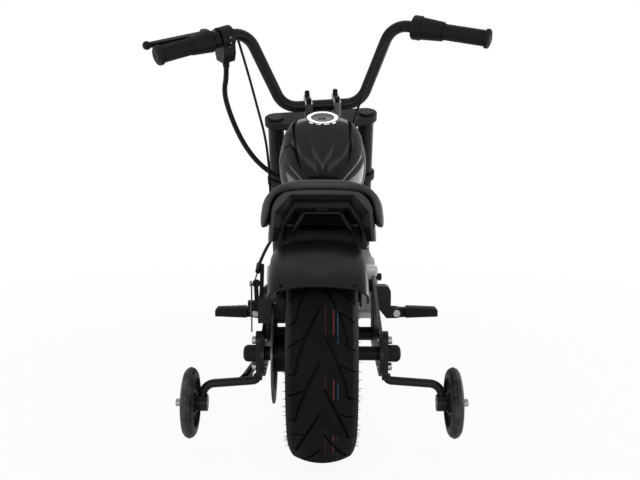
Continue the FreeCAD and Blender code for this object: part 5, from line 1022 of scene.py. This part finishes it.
@dataclass
class Assembly:
    """A group of pieces that are dressed and trimmed together."""

    finishes: Finishes

    def build(self) -> None:
        """Dresses the group's CAD nodes and adds its trim."""

    def lathe(
        self, name: str, profile: Profile, place: Matrix, sides: int, look: tuple[Material, Body, Slot]
    ) -> None:
        """Adds one turned piece.

        Args:
            name: The piece's name.
            profile: Radius and height of each point, in millimetres.
            place: Where its local axes lie.
            sides: Steps round its axis.
            look: Its finish, body and slot.
        """
        material, body, slot = look
        settle(new_piece(name, turned(name, profile, place, sides), material), body, slot)


@dataclass
class Cords(Assembly):
    """The switch loom, the brake cable and the throttle wire, from the bar down to the frame."""

    loom_diameter: float = 10 * MM
    cable_diameter: float = 5 * MM
    loom: Route = (
        (-0.1831, 0.0743, 0.6005), (-0.1834, 0.0891, 0.5738), (-0.1910, 0.0980, 0.5435),
        (-0.1800, 0.1100, 0.4990), (-0.1591, 0.1180, 0.4498), (-0.1323, 0.1230, 0.4106),
        (-0.0983, 0.1260, 0.3828), (-0.0705, 0.1260, 0.3714), (-0.0399, 0.1240, 0.3765),
        (-0.0175, 0.1240, 0.3899),
    )
    brake: Route = (
        (-0.2054, 0.0711, 0.6524), (-0.1827, 0.0863, 0.6609), (-0.1652, 0.0985, 0.6517),
        (-0.1559, 0.1044, 0.6204), (-0.1418, 0.1125, 0.5698), (-0.1275, 0.1188, 0.5135),
        (-0.1131, 0.1218, 0.4591), (-0.1058, 0.1147, 0.4050), (-0.1018, 0.0903, 0.3545),
        (-0.0986, 0.0478, 0.3224), (-0.0945, -0.0047, 0.3082), (-0.0884, -0.0653, 0.3024),
        (-0.0822, -0.1322, 0.2989), (-0.0801, -0.1950, 0.2931), (-0.0884, -0.2516, 0.2811),
        (-0.0935, -0.2985, 0.2665),
    )
    throttle: Route = (
        (0.1655, 0.0796, 0.6572), (0.1438, 0.0882, 0.6620), (0.1268, 0.0972, 0.6517),
        (0.1093, 0.0990, 0.6212), (0.0934, 0.1090, 0.5784), (0.0784, 0.1140, 0.5373),
        (0.0645, 0.1220, 0.5015), (0.0585, 0.1260, 0.4657), (0.0556, 0.1270, 0.4353),
        (0.0455, 0.1240, 0.4123), (0.0195, 0.1240, 0.4053),
    )
    eye: Point = (-0.0935, -0.360019, 0.248018)
    arm_end: Point = (-0.0925, -0.366, 0.2495)
    wire_radius: float = 1.15 * MM
    barrel_way: Point = (0.0, 1.0, 0.3)
    barrel_reach: float = 42 * MM
    clamp_shift: float = 6 * MM
    # The bare wire's bends from the arm's eye, in millimetres.
    wire_bends: Route = ((-3, 4, 1), (-6, -2, -2), (-6, -3.5, -30), (-6, -6, -68))

    def build(self) -> None:
        """Makes the three cords, their end boots and the bare wire at the caliper."""
        self.cord("switch_loom", "wire_loom", self.loom, self.loom_diameter, 8)
        self.cord("brake_cable_outer", "brake_cable", self.brake, self.cable_diameter, 10)
        self.cord("throttle_lead", "throttle_wire", self.throttle, self.cable_diameter, 9)
        boot = [(0, -5), (8, -5), (8, 1), (6.6, 5), (6.2, 12), (5.2, 15), (0, 15)]
        ferrule = [(0, -3), (4.4, -3), (4.4, 6), (3.8, 7), (3.8, 13), (2.7, 16), (0, 16)]
        self.boot("loom_boot", self.loom, boot)
        self.boot("brake_ferrule", self.brake, ferrule)
        self.boot("throttle_boot", self.throttle, ferrule)
        self.bare_wire()

    def boot(self, name: str, route: Route, profile: Profile) -> None:
        """A turned boot where a cord leaves its housing on the bar.

        Args:
            name: The piece's name.
            route: The cord's control points.
            profile: Radius and distance along the cord, in millimetres.
        """
        first, second = Vector(route[0]), Vector(route[1])
        place = axes_at(first, second - first, RIGHT)
        self.lathe(name, profile, place, 32, (self.finishes.rubber, Body.STEERING, Slot.CORD))

    def bare_wire(self) -> None:
        """The bright inner wire from the caliper's barrel to the arm's clamp, and its loose tail."""
        eye = Vector(self.eye)
        line = [eye + Vector(self.barrel_way).normalized() * self.barrel_reach]
        line += [eye + Vector(bend) * MM for bend in self.wire_bends]
        zinc = (self.finishes.zinc, Body.CALIPER_ARM, Slot.ZINC)
        wire = swept("brake_inner_wire", line, self.wire_radius, 10)
        settle(new_piece("brake_inner_wire", wire, self.finishes.zinc), *zinc[1:])
        nut = [(0, 0), (4, 0), (4, 2.4), (3.2, 3), (1.6, 3), (1.6, 2), (0, 2)]
        seat = axes_at(eye - RIGHT * self.clamp_shift, -RIGHT)
        self.lathe("brake_wire_clamp", nut, seat, 24, zinc)
        boss = [(0, -2), (5.6, -2), (5.6, 2.4), (4.7, 3.4), (2.6, 3.4), (2, 2), (0, 2)]
        place = axes_at(Vector(self.arm_end), Vector((0.0, -1.0, 0.0)))
        plastic = (self.finishes.grained, Body.CALIPER_ARM, Slot.PLASTIC)
        self.lathe("caliper_arm_eye", boss, place, 32, plastic)

    def cord(self, name: str, node: str, route: Route, diameter: float, end: int) -> None:
        """One cord, bending between the bar and the frame.

        Args:
            name: The piece's name.
            node: The CAD node it stands for.
            route: Its control points.
            diameter: Its diameter, in metres.
            end: The point from which it was meant to stay with the frame; not used.
        """
        line = smooth_line(route)
        piece = new_piece(name, swept(name, line, diameter / 2), self.finishes.jacket)
        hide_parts(node)
        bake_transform(piece)


@dataclass
class Wheels(Assembly):
    """Tyres, rims, hub, disc and training wheels, with the moulding hairs of the rear tyre."""

    hair_radius: float = 119 * MM
    hair_spread: float = 8 * MM
    hair_side: float = 70 * MM
    hair_length: float = 6.5 * MM
    hair_half: float = 0.55 * MM
    hair_lean: float = 0.25
    hair_count: int = 130
    hair_shift: float = 0.37
    hair_shortest: float = 0.55
    # Uneven steps of the lean, the length and the place, so that no two hairs nearby are alike.
    hair_beats: Point = (2.4, 1.7, 2.9)
    trainer_track: float = 187.2 * MM
    trainer_inner: float = 178.2 * MM
    trainer_rim: float = 36 * MM
    trainer_squeeze: float = 0.72
    trainer_crease: float = math.radians(40.0)

    def build(self) -> None:
        """Dresses the wheels, and adds the training wheels and the hairs of the rear tyre."""
        dress("front_tyre", self.finishes.tyre)
        dress("rear_tyre", self.finishes.lined_tyre)
        dress("front_rim rear_hub", self.finishes.anodised)
        dress("brake_disc", self.finishes.disc)
        dress("training_axles motor_stator", self.finishes.zinc)
        dress("rear_axle front_axle", self.finishes.oxide)
        dress("rear_axle_caps", self.finishes.rubber)
        self.trainer(Body.LEFT_TRAINER, -1)
        self.trainer(Body.RIGHT_TRAINER, 1)
        self.hairs()

    def trainer(self, body: Body, side: int) -> None:
        """A training wheel: the spoked centre of its solid inside a round moulded tyre.

        Args:
            body: The wheel's body, which has its node's name.
            side: Minus one on the left, one on the right.
        """
        centre = Vector(TRAINER_AXLE) + RIGHT * (side * self.trainer_track)
        crown = [(34, -7.4), (40, -8.9), (44.5, -7.9), (47.8, -5.4)]
        crown += [(49.4, -2.6), (49.8, -0.7), (50.2, -0.5)]
        profile = crown + [(radius, -height) for radius, height in reversed(crown)] + crown[:1]
        name = body.value + "_moulding"
        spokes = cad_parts[body.value].data.copy()
        inner = self.trainer_inner
        for vertex in spokes.vertices:
            spoke = Vector((0.0, vertex.co.y - centre.y, vertex.co.z - centre.z))
            reach = spoke.normalized() * min(spoke.length, self.trainer_rim)
            across = inner + (side * vertex.co.x - inner) * self.trainer_squeeze
            vertex.co = Vector((side * across, centre.y + reach.y, centre.z + reach.z))
        tyre = turned(name + "_tyre", profile, axes_at(centre, RIGHT * side), 72)
        piece = new_piece(name, merged(name, [spokes, tyre]), self.finishes.trainer)
        piece.data.set_sharp_from_angle(angle=self.trainer_crease)
        settle(piece, body, Slot.TRAINER, body.value)

    def hairs(self) -> None:
        """Thin vent hairs that stand out of both shoulders of the rear tyre, unevenly spread."""
        corners: Points = []
        faces: Faces = []
        half = self.hair_half
        lean_beat, length_beat, place_beat = self.hair_beats
        for side in (-1, 1):
            for step in range(self.hair_count):
                angle = math.tau * (step + self.hair_shift * side) / self.hair_count
                lean = self.hair_lean * math.sin(step * lean_beat)
                share = math.sin(step * length_beat + side) ** 2
                length = self.hair_length * (self.hair_shortest + (1 - self.hair_shortest) * share)
                radial = Vector((0.0, math.cos(angle), math.sin(angle)))
                ring = Vector((0.0, -math.sin(angle), math.cos(angle)))
                reach = self.hair_radius + self.hair_spread * math.sin(step * place_beat + side)
                outside = Vector(REAR_AXLE) + radial * reach + RIGHT * (side * self.hair_side)
                root = surface_point("rear_tyre", outside, RIGHT * -side)
                way = RIGHT * side + radial * (self.hair_lean + lean) + ring * lean
                tip = root + way.normalized() * length
                first = len(corners)
                corners += [root + ring * half, root - ring * half, root + radial * half, tip]
                for face in ((0, 1, 3), (1, 2, 3), (2, 0, 3), (0, 2, 1)):
                    faces.append(tuple(first + corner for corner in face))
        piece = new_piece("rear_tyre_hairs", mesh_from("hairs", corners, faces), self.finishes.tyre)
        settle(piece, Body.REAR_WHEEL, Slot.TYRE)


@dataclass
class FrameWork(Assembly):
    """Welded frame, dropouts, brackets, arms and fasteners."""

    def build(self) -> None:
        """Dresses the steel work."""
        dress("main_frame left_dropout right_dropout seat_hoop", self.finishes.powder)
        arms = "left_training_arm right_training_arm left_peg_bracket right_peg_bracket kickstand"
        dress(arms, self.finishes.powder)
        dress("caliper_body caliper_arm", self.finishes.forged)
        dress("frame_bolts", self.finishes.zinc)
        dress("left_peg right_peg", self.finishes.rubber)


@dataclass
class Tank(Assembly):
    """Tank cover and its round gauge."""

    gauge_seat: Point = (0.0, 0.062, 0.479877)
    gauge_axis: Point = (0.0, -0.406737, 0.913545)
    face_height: float = 12.5 * MM
    mark_sink_mm: float = -0.1
    tick_radius_mm: float = 19.4
    tick_count: int = 24
    tick_size: Point = (0.9, 2.8, 0.4)
    display_size: Point = (15, 12, 0.7)
    display_shift: Pair = (-1.5 * MM, 1.5 * MM)

    def build(self) -> None:
        """Dresses the tank and the gauge."""
        dress("tank_cover", self.finishes.lacquer)
        dress("gauge_bezel", self.finishes.chrome)
        dress("gauge_dial", self.finishes.dial)
        self.face()

    def face(self) -> None:
        """Ring, tick marks and the small dark display on the dial, all without any print."""
        axis = Vector(self.gauge_axis)
        place = axes_at(Vector(self.gauge_seat) + axis * self.face_height, axis)
        look = (self.finishes.cover, Body.FRAME, Slot.DIAL)
        ring = [(14.6, -0.2), (14.9, 0.6), (16.4, 0.6), (16.7, -0.2), (14.6, -0.2)]
        self.lathe("gauge_ring", ring, place, 48, look)
        ticks = ring_places(place, self.tick_count, self.tick_radius_mm, self.mark_sink_mm)
        shift = Matrix.Translation((*self.display_shift, self.mark_sink_mm * MM))
        marks = (("gauge_ticks", ticks, self.tick_size),)
        marks += (("gauge_display", [place @ shift], self.display_size),)
        for name, places, size in marks:
            settle(new_piece(name, boxes(name, places, size), look[0]), *look[1:])


@dataclass
class Saddle(Assembly):
    """Padded saddle on its moulded pan."""

    voxel: float = 5 * MM
    shrink: float = 2.0 * MM
    swell: float = 4.0 * MM
    pressure: float = 4.0
    frames: int = 20

    def build(self) -> None:
        """Makes the cushion and dresses the pan."""
        dress("seat_base", self.finishes.pan)
        self.cushion()

    def cushion(self) -> None:
        """The foam pad under its vinyl cover, blown up a little and capped."""
        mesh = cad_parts["seat_pad"].data.copy()
        mesh.name = "saddle_cushion"
        piece = new_piece("saddle_cushion", mesh, self.finishes.leather)
        self.apply(piece, "REMESH", mode="VOXEL", voxel_size=self.voxel)
        data = piece.data
        normals = [vertex.normal.copy() for vertex in data.vertices]
        for vertex, normal in zip(data.vertices, normals):
            vertex.co -= normal * self.shrink
        start = [vertex.co.copy() for vertex in data.vertices]
        self.inflate(piece)
        for vertex, rest in zip(piece.data.vertices, start):
            move = vertex.co - rest
            if move.length > self.swell:
                vertex.co = rest + move * (self.swell / move.length)
        self.apply(piece, "SMOOTH", factor=0.5, iterations=4)
        self.apply(piece, "SUBSURF", levels=1)
        for polygon in piece.data.polygons:
            polygon.use_smooth = True
        settle(piece, Body.FRAME, Slot.SEAT, "seat_pad")

    def inflate(self, piece: Piece) -> None:
        """Runs the cover as cloth under pressure and keeps its last shape.

        Args:
            piece: The cushion.
        """
        scene = bpy.context.scene
        cloth = piece.modifiers.new("cloth", "CLOTH")
        cloth.settings.use_pressure = True
        cloth.settings.uniform_pressure_force = self.pressure
        cloth.settings.effector_weights.gravity = 0.0
        cloth.point_cache.frame_end = self.frames
        for step in range(1, self.frames + 1):
            scene.frame_set(step)
        self.bake(piece, cloth)
        scene.frame_set(1)

    def apply(self, piece: Piece, kind: str, **settings: Any) -> None:
        """Adds one modifier and bakes it into the mesh.

        Args:
            piece: The piece to change.
            kind: The modifier's type.
            **settings: Its settings.
        """
        modifier = piece.modifiers.new(kind.lower(), kind)
        for key, value in settings.items():
            setattr(modifier, key, value)
        self.bake(piece, modifier)

    def bake(self, piece: Piece, modifier: bpy.types.Modifier) -> None:
        """Keeps a modifier's shape as the mesh and takes the modifier away.

        Args:
            piece: The piece to change.
            modifier: Its modifier.
        """
        seen = piece.evaluated_get(bpy.context.evaluated_depsgraph_get())
        shaped = bpy.data.meshes.new_from_object(seen)
        piece.modifiers.remove(modifier)
        piece.data = shaped


@dataclass
class Panels(Assembly):
    """Fenders, engine covers, battery, and a black sheet of painted shade under the saddle."""

    boss_face: float = 96 * MM
    bosses: tuple[Pair, ...] = ((-0.0545, 0.1942), (0.034, 0.196))
    cover_face: float = 90 * MM
    corners: tuple[Pair, ...] = ((-0.132, 0.164), (0.082, 0.164), (-0.124, 0.222), (0.074, 0.222))
    boss_screws: int = 5
    boss_screw_radius_mm: float = 25.5
    trim_crease: float = math.radians(35.0)
    buffer_foot: Point = (0.09, -0.1, 0.215)
    # Size and place of the black sheet of painted shade under the saddle.
    shade_sheet_reach: Pair = (-0.058, 0.06)
    shade_sheet_line: float = -0.28
    shade_sheet_top: float = 0.316
    shade_sheet_lean: float = 13 * MM
    shade_sheet_wall: float = 2 * MM
    shade_sheet_sink: float = 1.5 * MM
    shade_sheet_steps: int = 12

    def build(self) -> None:
        """Dresses the mouldings, and adds the engine covers' trim and the black sheet of painted shade
        under the saddle.
        """
        dress("rear_fender front_fender", self.finishes.satin)
        dress("left_engine_cover right_engine_cover engine_cylinders", self.finishes.silver)
        dress("battery_pack", self.finishes.case)
        self.crank_trim("left_crank", -1)
        self.crank_trim("right_crank", 1)
        self.stop_buffer()
        self.painted_shade_sheet()

    def crank_trim(self, name: str, side: int) -> None:
        """Turned rims on the round bosses of one engine cover, and its cover screws.

        Args:
            name: The start of the pieces' names.
            side: Minus one on the left, one on the right.
        """
        rim = [(33.6, -0.4), (33.6, 1.1), (32.8, 1.8), (30, 1.8), (29.2, 0.9), (29.2, -0.4)]
        rim += rim[:1]
        cap = [(0, -0.4), (17, -0.4), (17, 0.8), (16, 1.6), (11, 2.2), (10, 1.2)]
        cap += [(5, 1.0), (4.4, 1.8), (0, 2)]
        head = [(0, -0.4), (3.2, -0.4), (3.2, 1.6), (2.6, 2.1), (1.4, 2.1), (1.4, 0.8), (0, 0.8)]
        out = RIGHT * side
        rings = []
        seats = []
        for y, z in self.bosses:
            place = axes_at(Vector((side * self.boss_face, y, z)), out)
            rings += [turned("rim", rim, place, 72), turned("cap", cap, place, 48)]
            seats += ring_places(place, self.boss_screws, self.boss_screw_radius_mm)
        seats += [axes_at(Vector((side * self.cover_face, y, z)), out) for y, z in self.corners]
        screws = [turned("screw", head, seat, 18) for seat in seats]
        pieces = ((name + "_rims", rings, self.finishes.silver, Slot.SILVER),)
        pieces += ((name + "_screws", screws, self.finishes.zinc, Slot.ZINC),)
        for label, meshes, finish, slot in pieces:
            piece = settle(new_piece(label, merged(label, meshes), finish), Body.FRAME, slot)
            piece.data.set_sharp_from_angle(angle=self.trim_crease)

    def stop_buffer(self) -> None:
        """The round rubber buffer that stands out of the right engine cover."""
        profile = [(0, -0.5), (4.2, -0.5), (4.2, 6), (6.2, 6.4), (6.6, 8)]
        profile += [(6.4, 11.2), (4.6, 12.6), (0, 13)]
        look = (self.finishes.rubber, Body.FRAME, Slot.GRIP)
        self.lathe("engine_stop_buffer", profile, axes_at(Vector(self.buffer_foot), RIGHT), 36, look)

    def painted_shade_sheet(self) -> None:
        """A black sheet of painted shade that stands on the rear fender and fills the shaded gap under
        the saddle.
        """
        # Painted shade: this black sheet fills the shaded gap between the fender's crest and the
        # saddle pan.
        low, high = self.shade_sheet_reach
        wall = Vector((0.0, self.shade_sheet_wall, 0.0))
        corners: Points = []
        for step in range(self.shade_sheet_steps + 1):
            across = low + (high - low) * step / self.shade_sheet_steps
            crest = Vector((across, self.shade_sheet_line - self.shade_sheet_lean, self.shade_sheet_top))
            base = surface_point("rear_fender", Vector((across, self.shade_sheet_line, 1.0)), -UP)
            base -= UP * self.shade_sheet_sink
            corners += [base, crest, crest + wall, base + wall]
        mesh = mesh_from("painted_shade_sheet", corners, tube_faces(self.shade_sheet_steps + 1, 4))
        settle(new_piece("painted_shade_sheet", mesh, self.finishes.case), Body.FRAME, Slot.PLASTIC)


@dataclass
class FrontEnd(Assembly):
    """Fork, yokes, handlebar, controls and headlight."""

    left_grip: Point = (-0.144075, 0.077675, 0.655571)
    left_way: Point = (-0.788355, -0.538075, -0.298282)
    right_grip: Point = (0.133838, 0.107227, 0.672633)
    right_way: Point = (0.91375, -0.357083, -0.193786)
    fork_half: float = 92 * MM
    fork_offset: float = 25 * MM
    leg_radius: float = 18 * MM
    bolt_height: float = 74 * MM
    bolt_way: Pair = (0.64, -0.77)
    lamp_forward: float = 84 * MM
    lamp_height: float = 332 * MM
    button_height: float = 5 * MM
    buttons: tuple[tuple[Body, Point, Point], ...] = (
        (Body.UPPER_BUTTON, (-0.172366, 0.037354, 0.638806), (0.590754, -0.797448, -0.122825)),
        (Body.MIDDLE_BUTTON, (-0.172128, 0.041045, 0.63152), (0.60435, -0.586574, -0.539159)),
        (Body.LOWER_BUTTON, (-0.174196, 0.046973, 0.626291), (0.486206, -0.247834, -0.837963)),
    )

    def build(self) -> None:
        """Dresses the steering parts and adds their small trim."""
        dress("upper_yoke lower_yoke", self.finishes.yoke)
        dress("left_fork_leg right_fork_leg handlebar headlight_shell", self.finishes.powder)
        dress("steering_stem", self.finishes.zinc)
        dress("handlebar_risers", self.finishes.brushed)
        dress("riser_bolts", self.finishes.oxide)
        dress("left_grip throttle_grip", self.finishes.rubber)
        dress("switch_pod throttle_housing", self.finishes.grained)
        dress("upper_button middle_button lower_button", self.finishes.case)
        dress("brake_lever lever_perch", self.finishes.forged)
        dress("headlight_lens", self.finishes.glass)
        self.grip_end("left_grip", Vector(self.left_grip), Vector(self.left_way), Body.STEERING)
        self.grip_end("throttle_grip", Vector(self.right_grip), Vector(self.right_way), Body.THROTTLE)
        for body, place, way in self.buttons:
            self.button_cap(body, Vector(place), Vector(way))
        self.leg_bolt("left_leg_bolt", -1)
        self.leg_bolt("right_leg_bolt", 1)
        self.lamp()

    def grip_end(self, node: str, base: Vector, way: Vector, body: Body) -> None:
        """The moulded end of a grip, with its vent hole.

        Args:
            node: The grip's CAD node.
            base: A point on the grip's axis.
            way: The direction of its outer end.
            body: The body it moves with.
        """
        reach = max((vertex.co - base).dot(way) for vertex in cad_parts[node].data.vertices)
        place = axes_at(base + way * reach, way)
        profile = [(13.0, -0.4), (12.4, 1.3), (10.5, 1.9), (2.4, 1.9)]
        profile += [(1.9, 1.5), (1.9, -0.3), (0, -0.3)]
        self.lathe(node + "_end", profile, place, 48, (self.finishes.rubber, body, Slot.GRIP))

    def button_cap(self, body: Body, place: Vector, way: Vector) -> None:
        """The glossy dome on one push button, whose pale colour is a painted highlight.

        Args:
            body: The button's body.
            place: The foot of the button.
            way: The direction it stands out.
        """
        top = axes_at(place + way * self.button_height, way)
        profile = [(2.1, -0.3), (2.1, 0.2), (1.6, 0.6), (0.8, 0.85), (0, 0.9)]
        self.lathe(body.value + "_dome", profile, top, 48, (self.finishes.painted_glint_dome, body, Slot.GRIP))

    def leg_bolt(self, name: str, side: int) -> None:
        """A bright socket screw on the rear of one fork leg.

        Args:
            name: The piece's name.
            side: Minus one on the left, one on the right.
        """
        profile = [(0, -2), (4.4, -2), (4.4, 1.4), (3.7, 2.4), (2.1, 2.6), (1.9, 1.0), (0, 1.0)]
        local = Vector((self.bolt_way[0] * side, self.bolt_way[1], 0.0)).normalized()
        middle = Vector((self.fork_half * side, self.fork_offset, self.bolt_height))
        way = (STEERING.to_3x3() @ local).normalized()
        place = axes_at(STEERING @ (middle + local * self.leg_radius), way)
        self.lathe(name, profile, place, 24, (self.finishes.zinc, Body.STEERING, Slot.ZINC))

    def lamp(self) -> None:
        """The bright bowl and the bulb behind the headlight's lens."""
        turn = Matrix.Rotation(-math.pi / 2, 4, "X")
        place = STEERING @ Matrix.Translation((0.0, self.lamp_forward, self.lamp_height)) @ turn
        bowl = [(6, -26.5), (14, -25.5), (22, -20), (32, -8), (40, 6), (46, 20), (47, 23)]
        back = [(46.4, 23), (45, 20), (39, 6), (31, -8), (21, -19.5), (13, -24.5), (6, -25.5)]
        plate = (self.finishes.chrome, Body.STEERING, Slot.CHROME)
        self.lathe("headlight_bowl", bowl + back + bowl[:1], place, 64, plate)
        bulb = [(0, -27), (7, -27), (7, -16), (5.4, -14), (6.8, -8), (6, -1), (3.4, 2.6), (0, 3.6)]
        frosted = (self.finishes.bulb, Body.STEERING, Slot.GLASS)
        self.lathe("headlight_bulb", bulb, place, 32, frosted)


def main() -> None:
    """Builds the scene, sub-assembly by sub-assembly."""
    logging.basicConfig(level=logging.INFO, format="%(name)s: %(message)s")
    finishes = Finishes()
    Studio().build()
    for part in (Cords, Wheels, FrameWork, Tank, Saddle, Panels, FrontEnd):
        part(finishes).build()


if __name__ == "__main__":
    main()
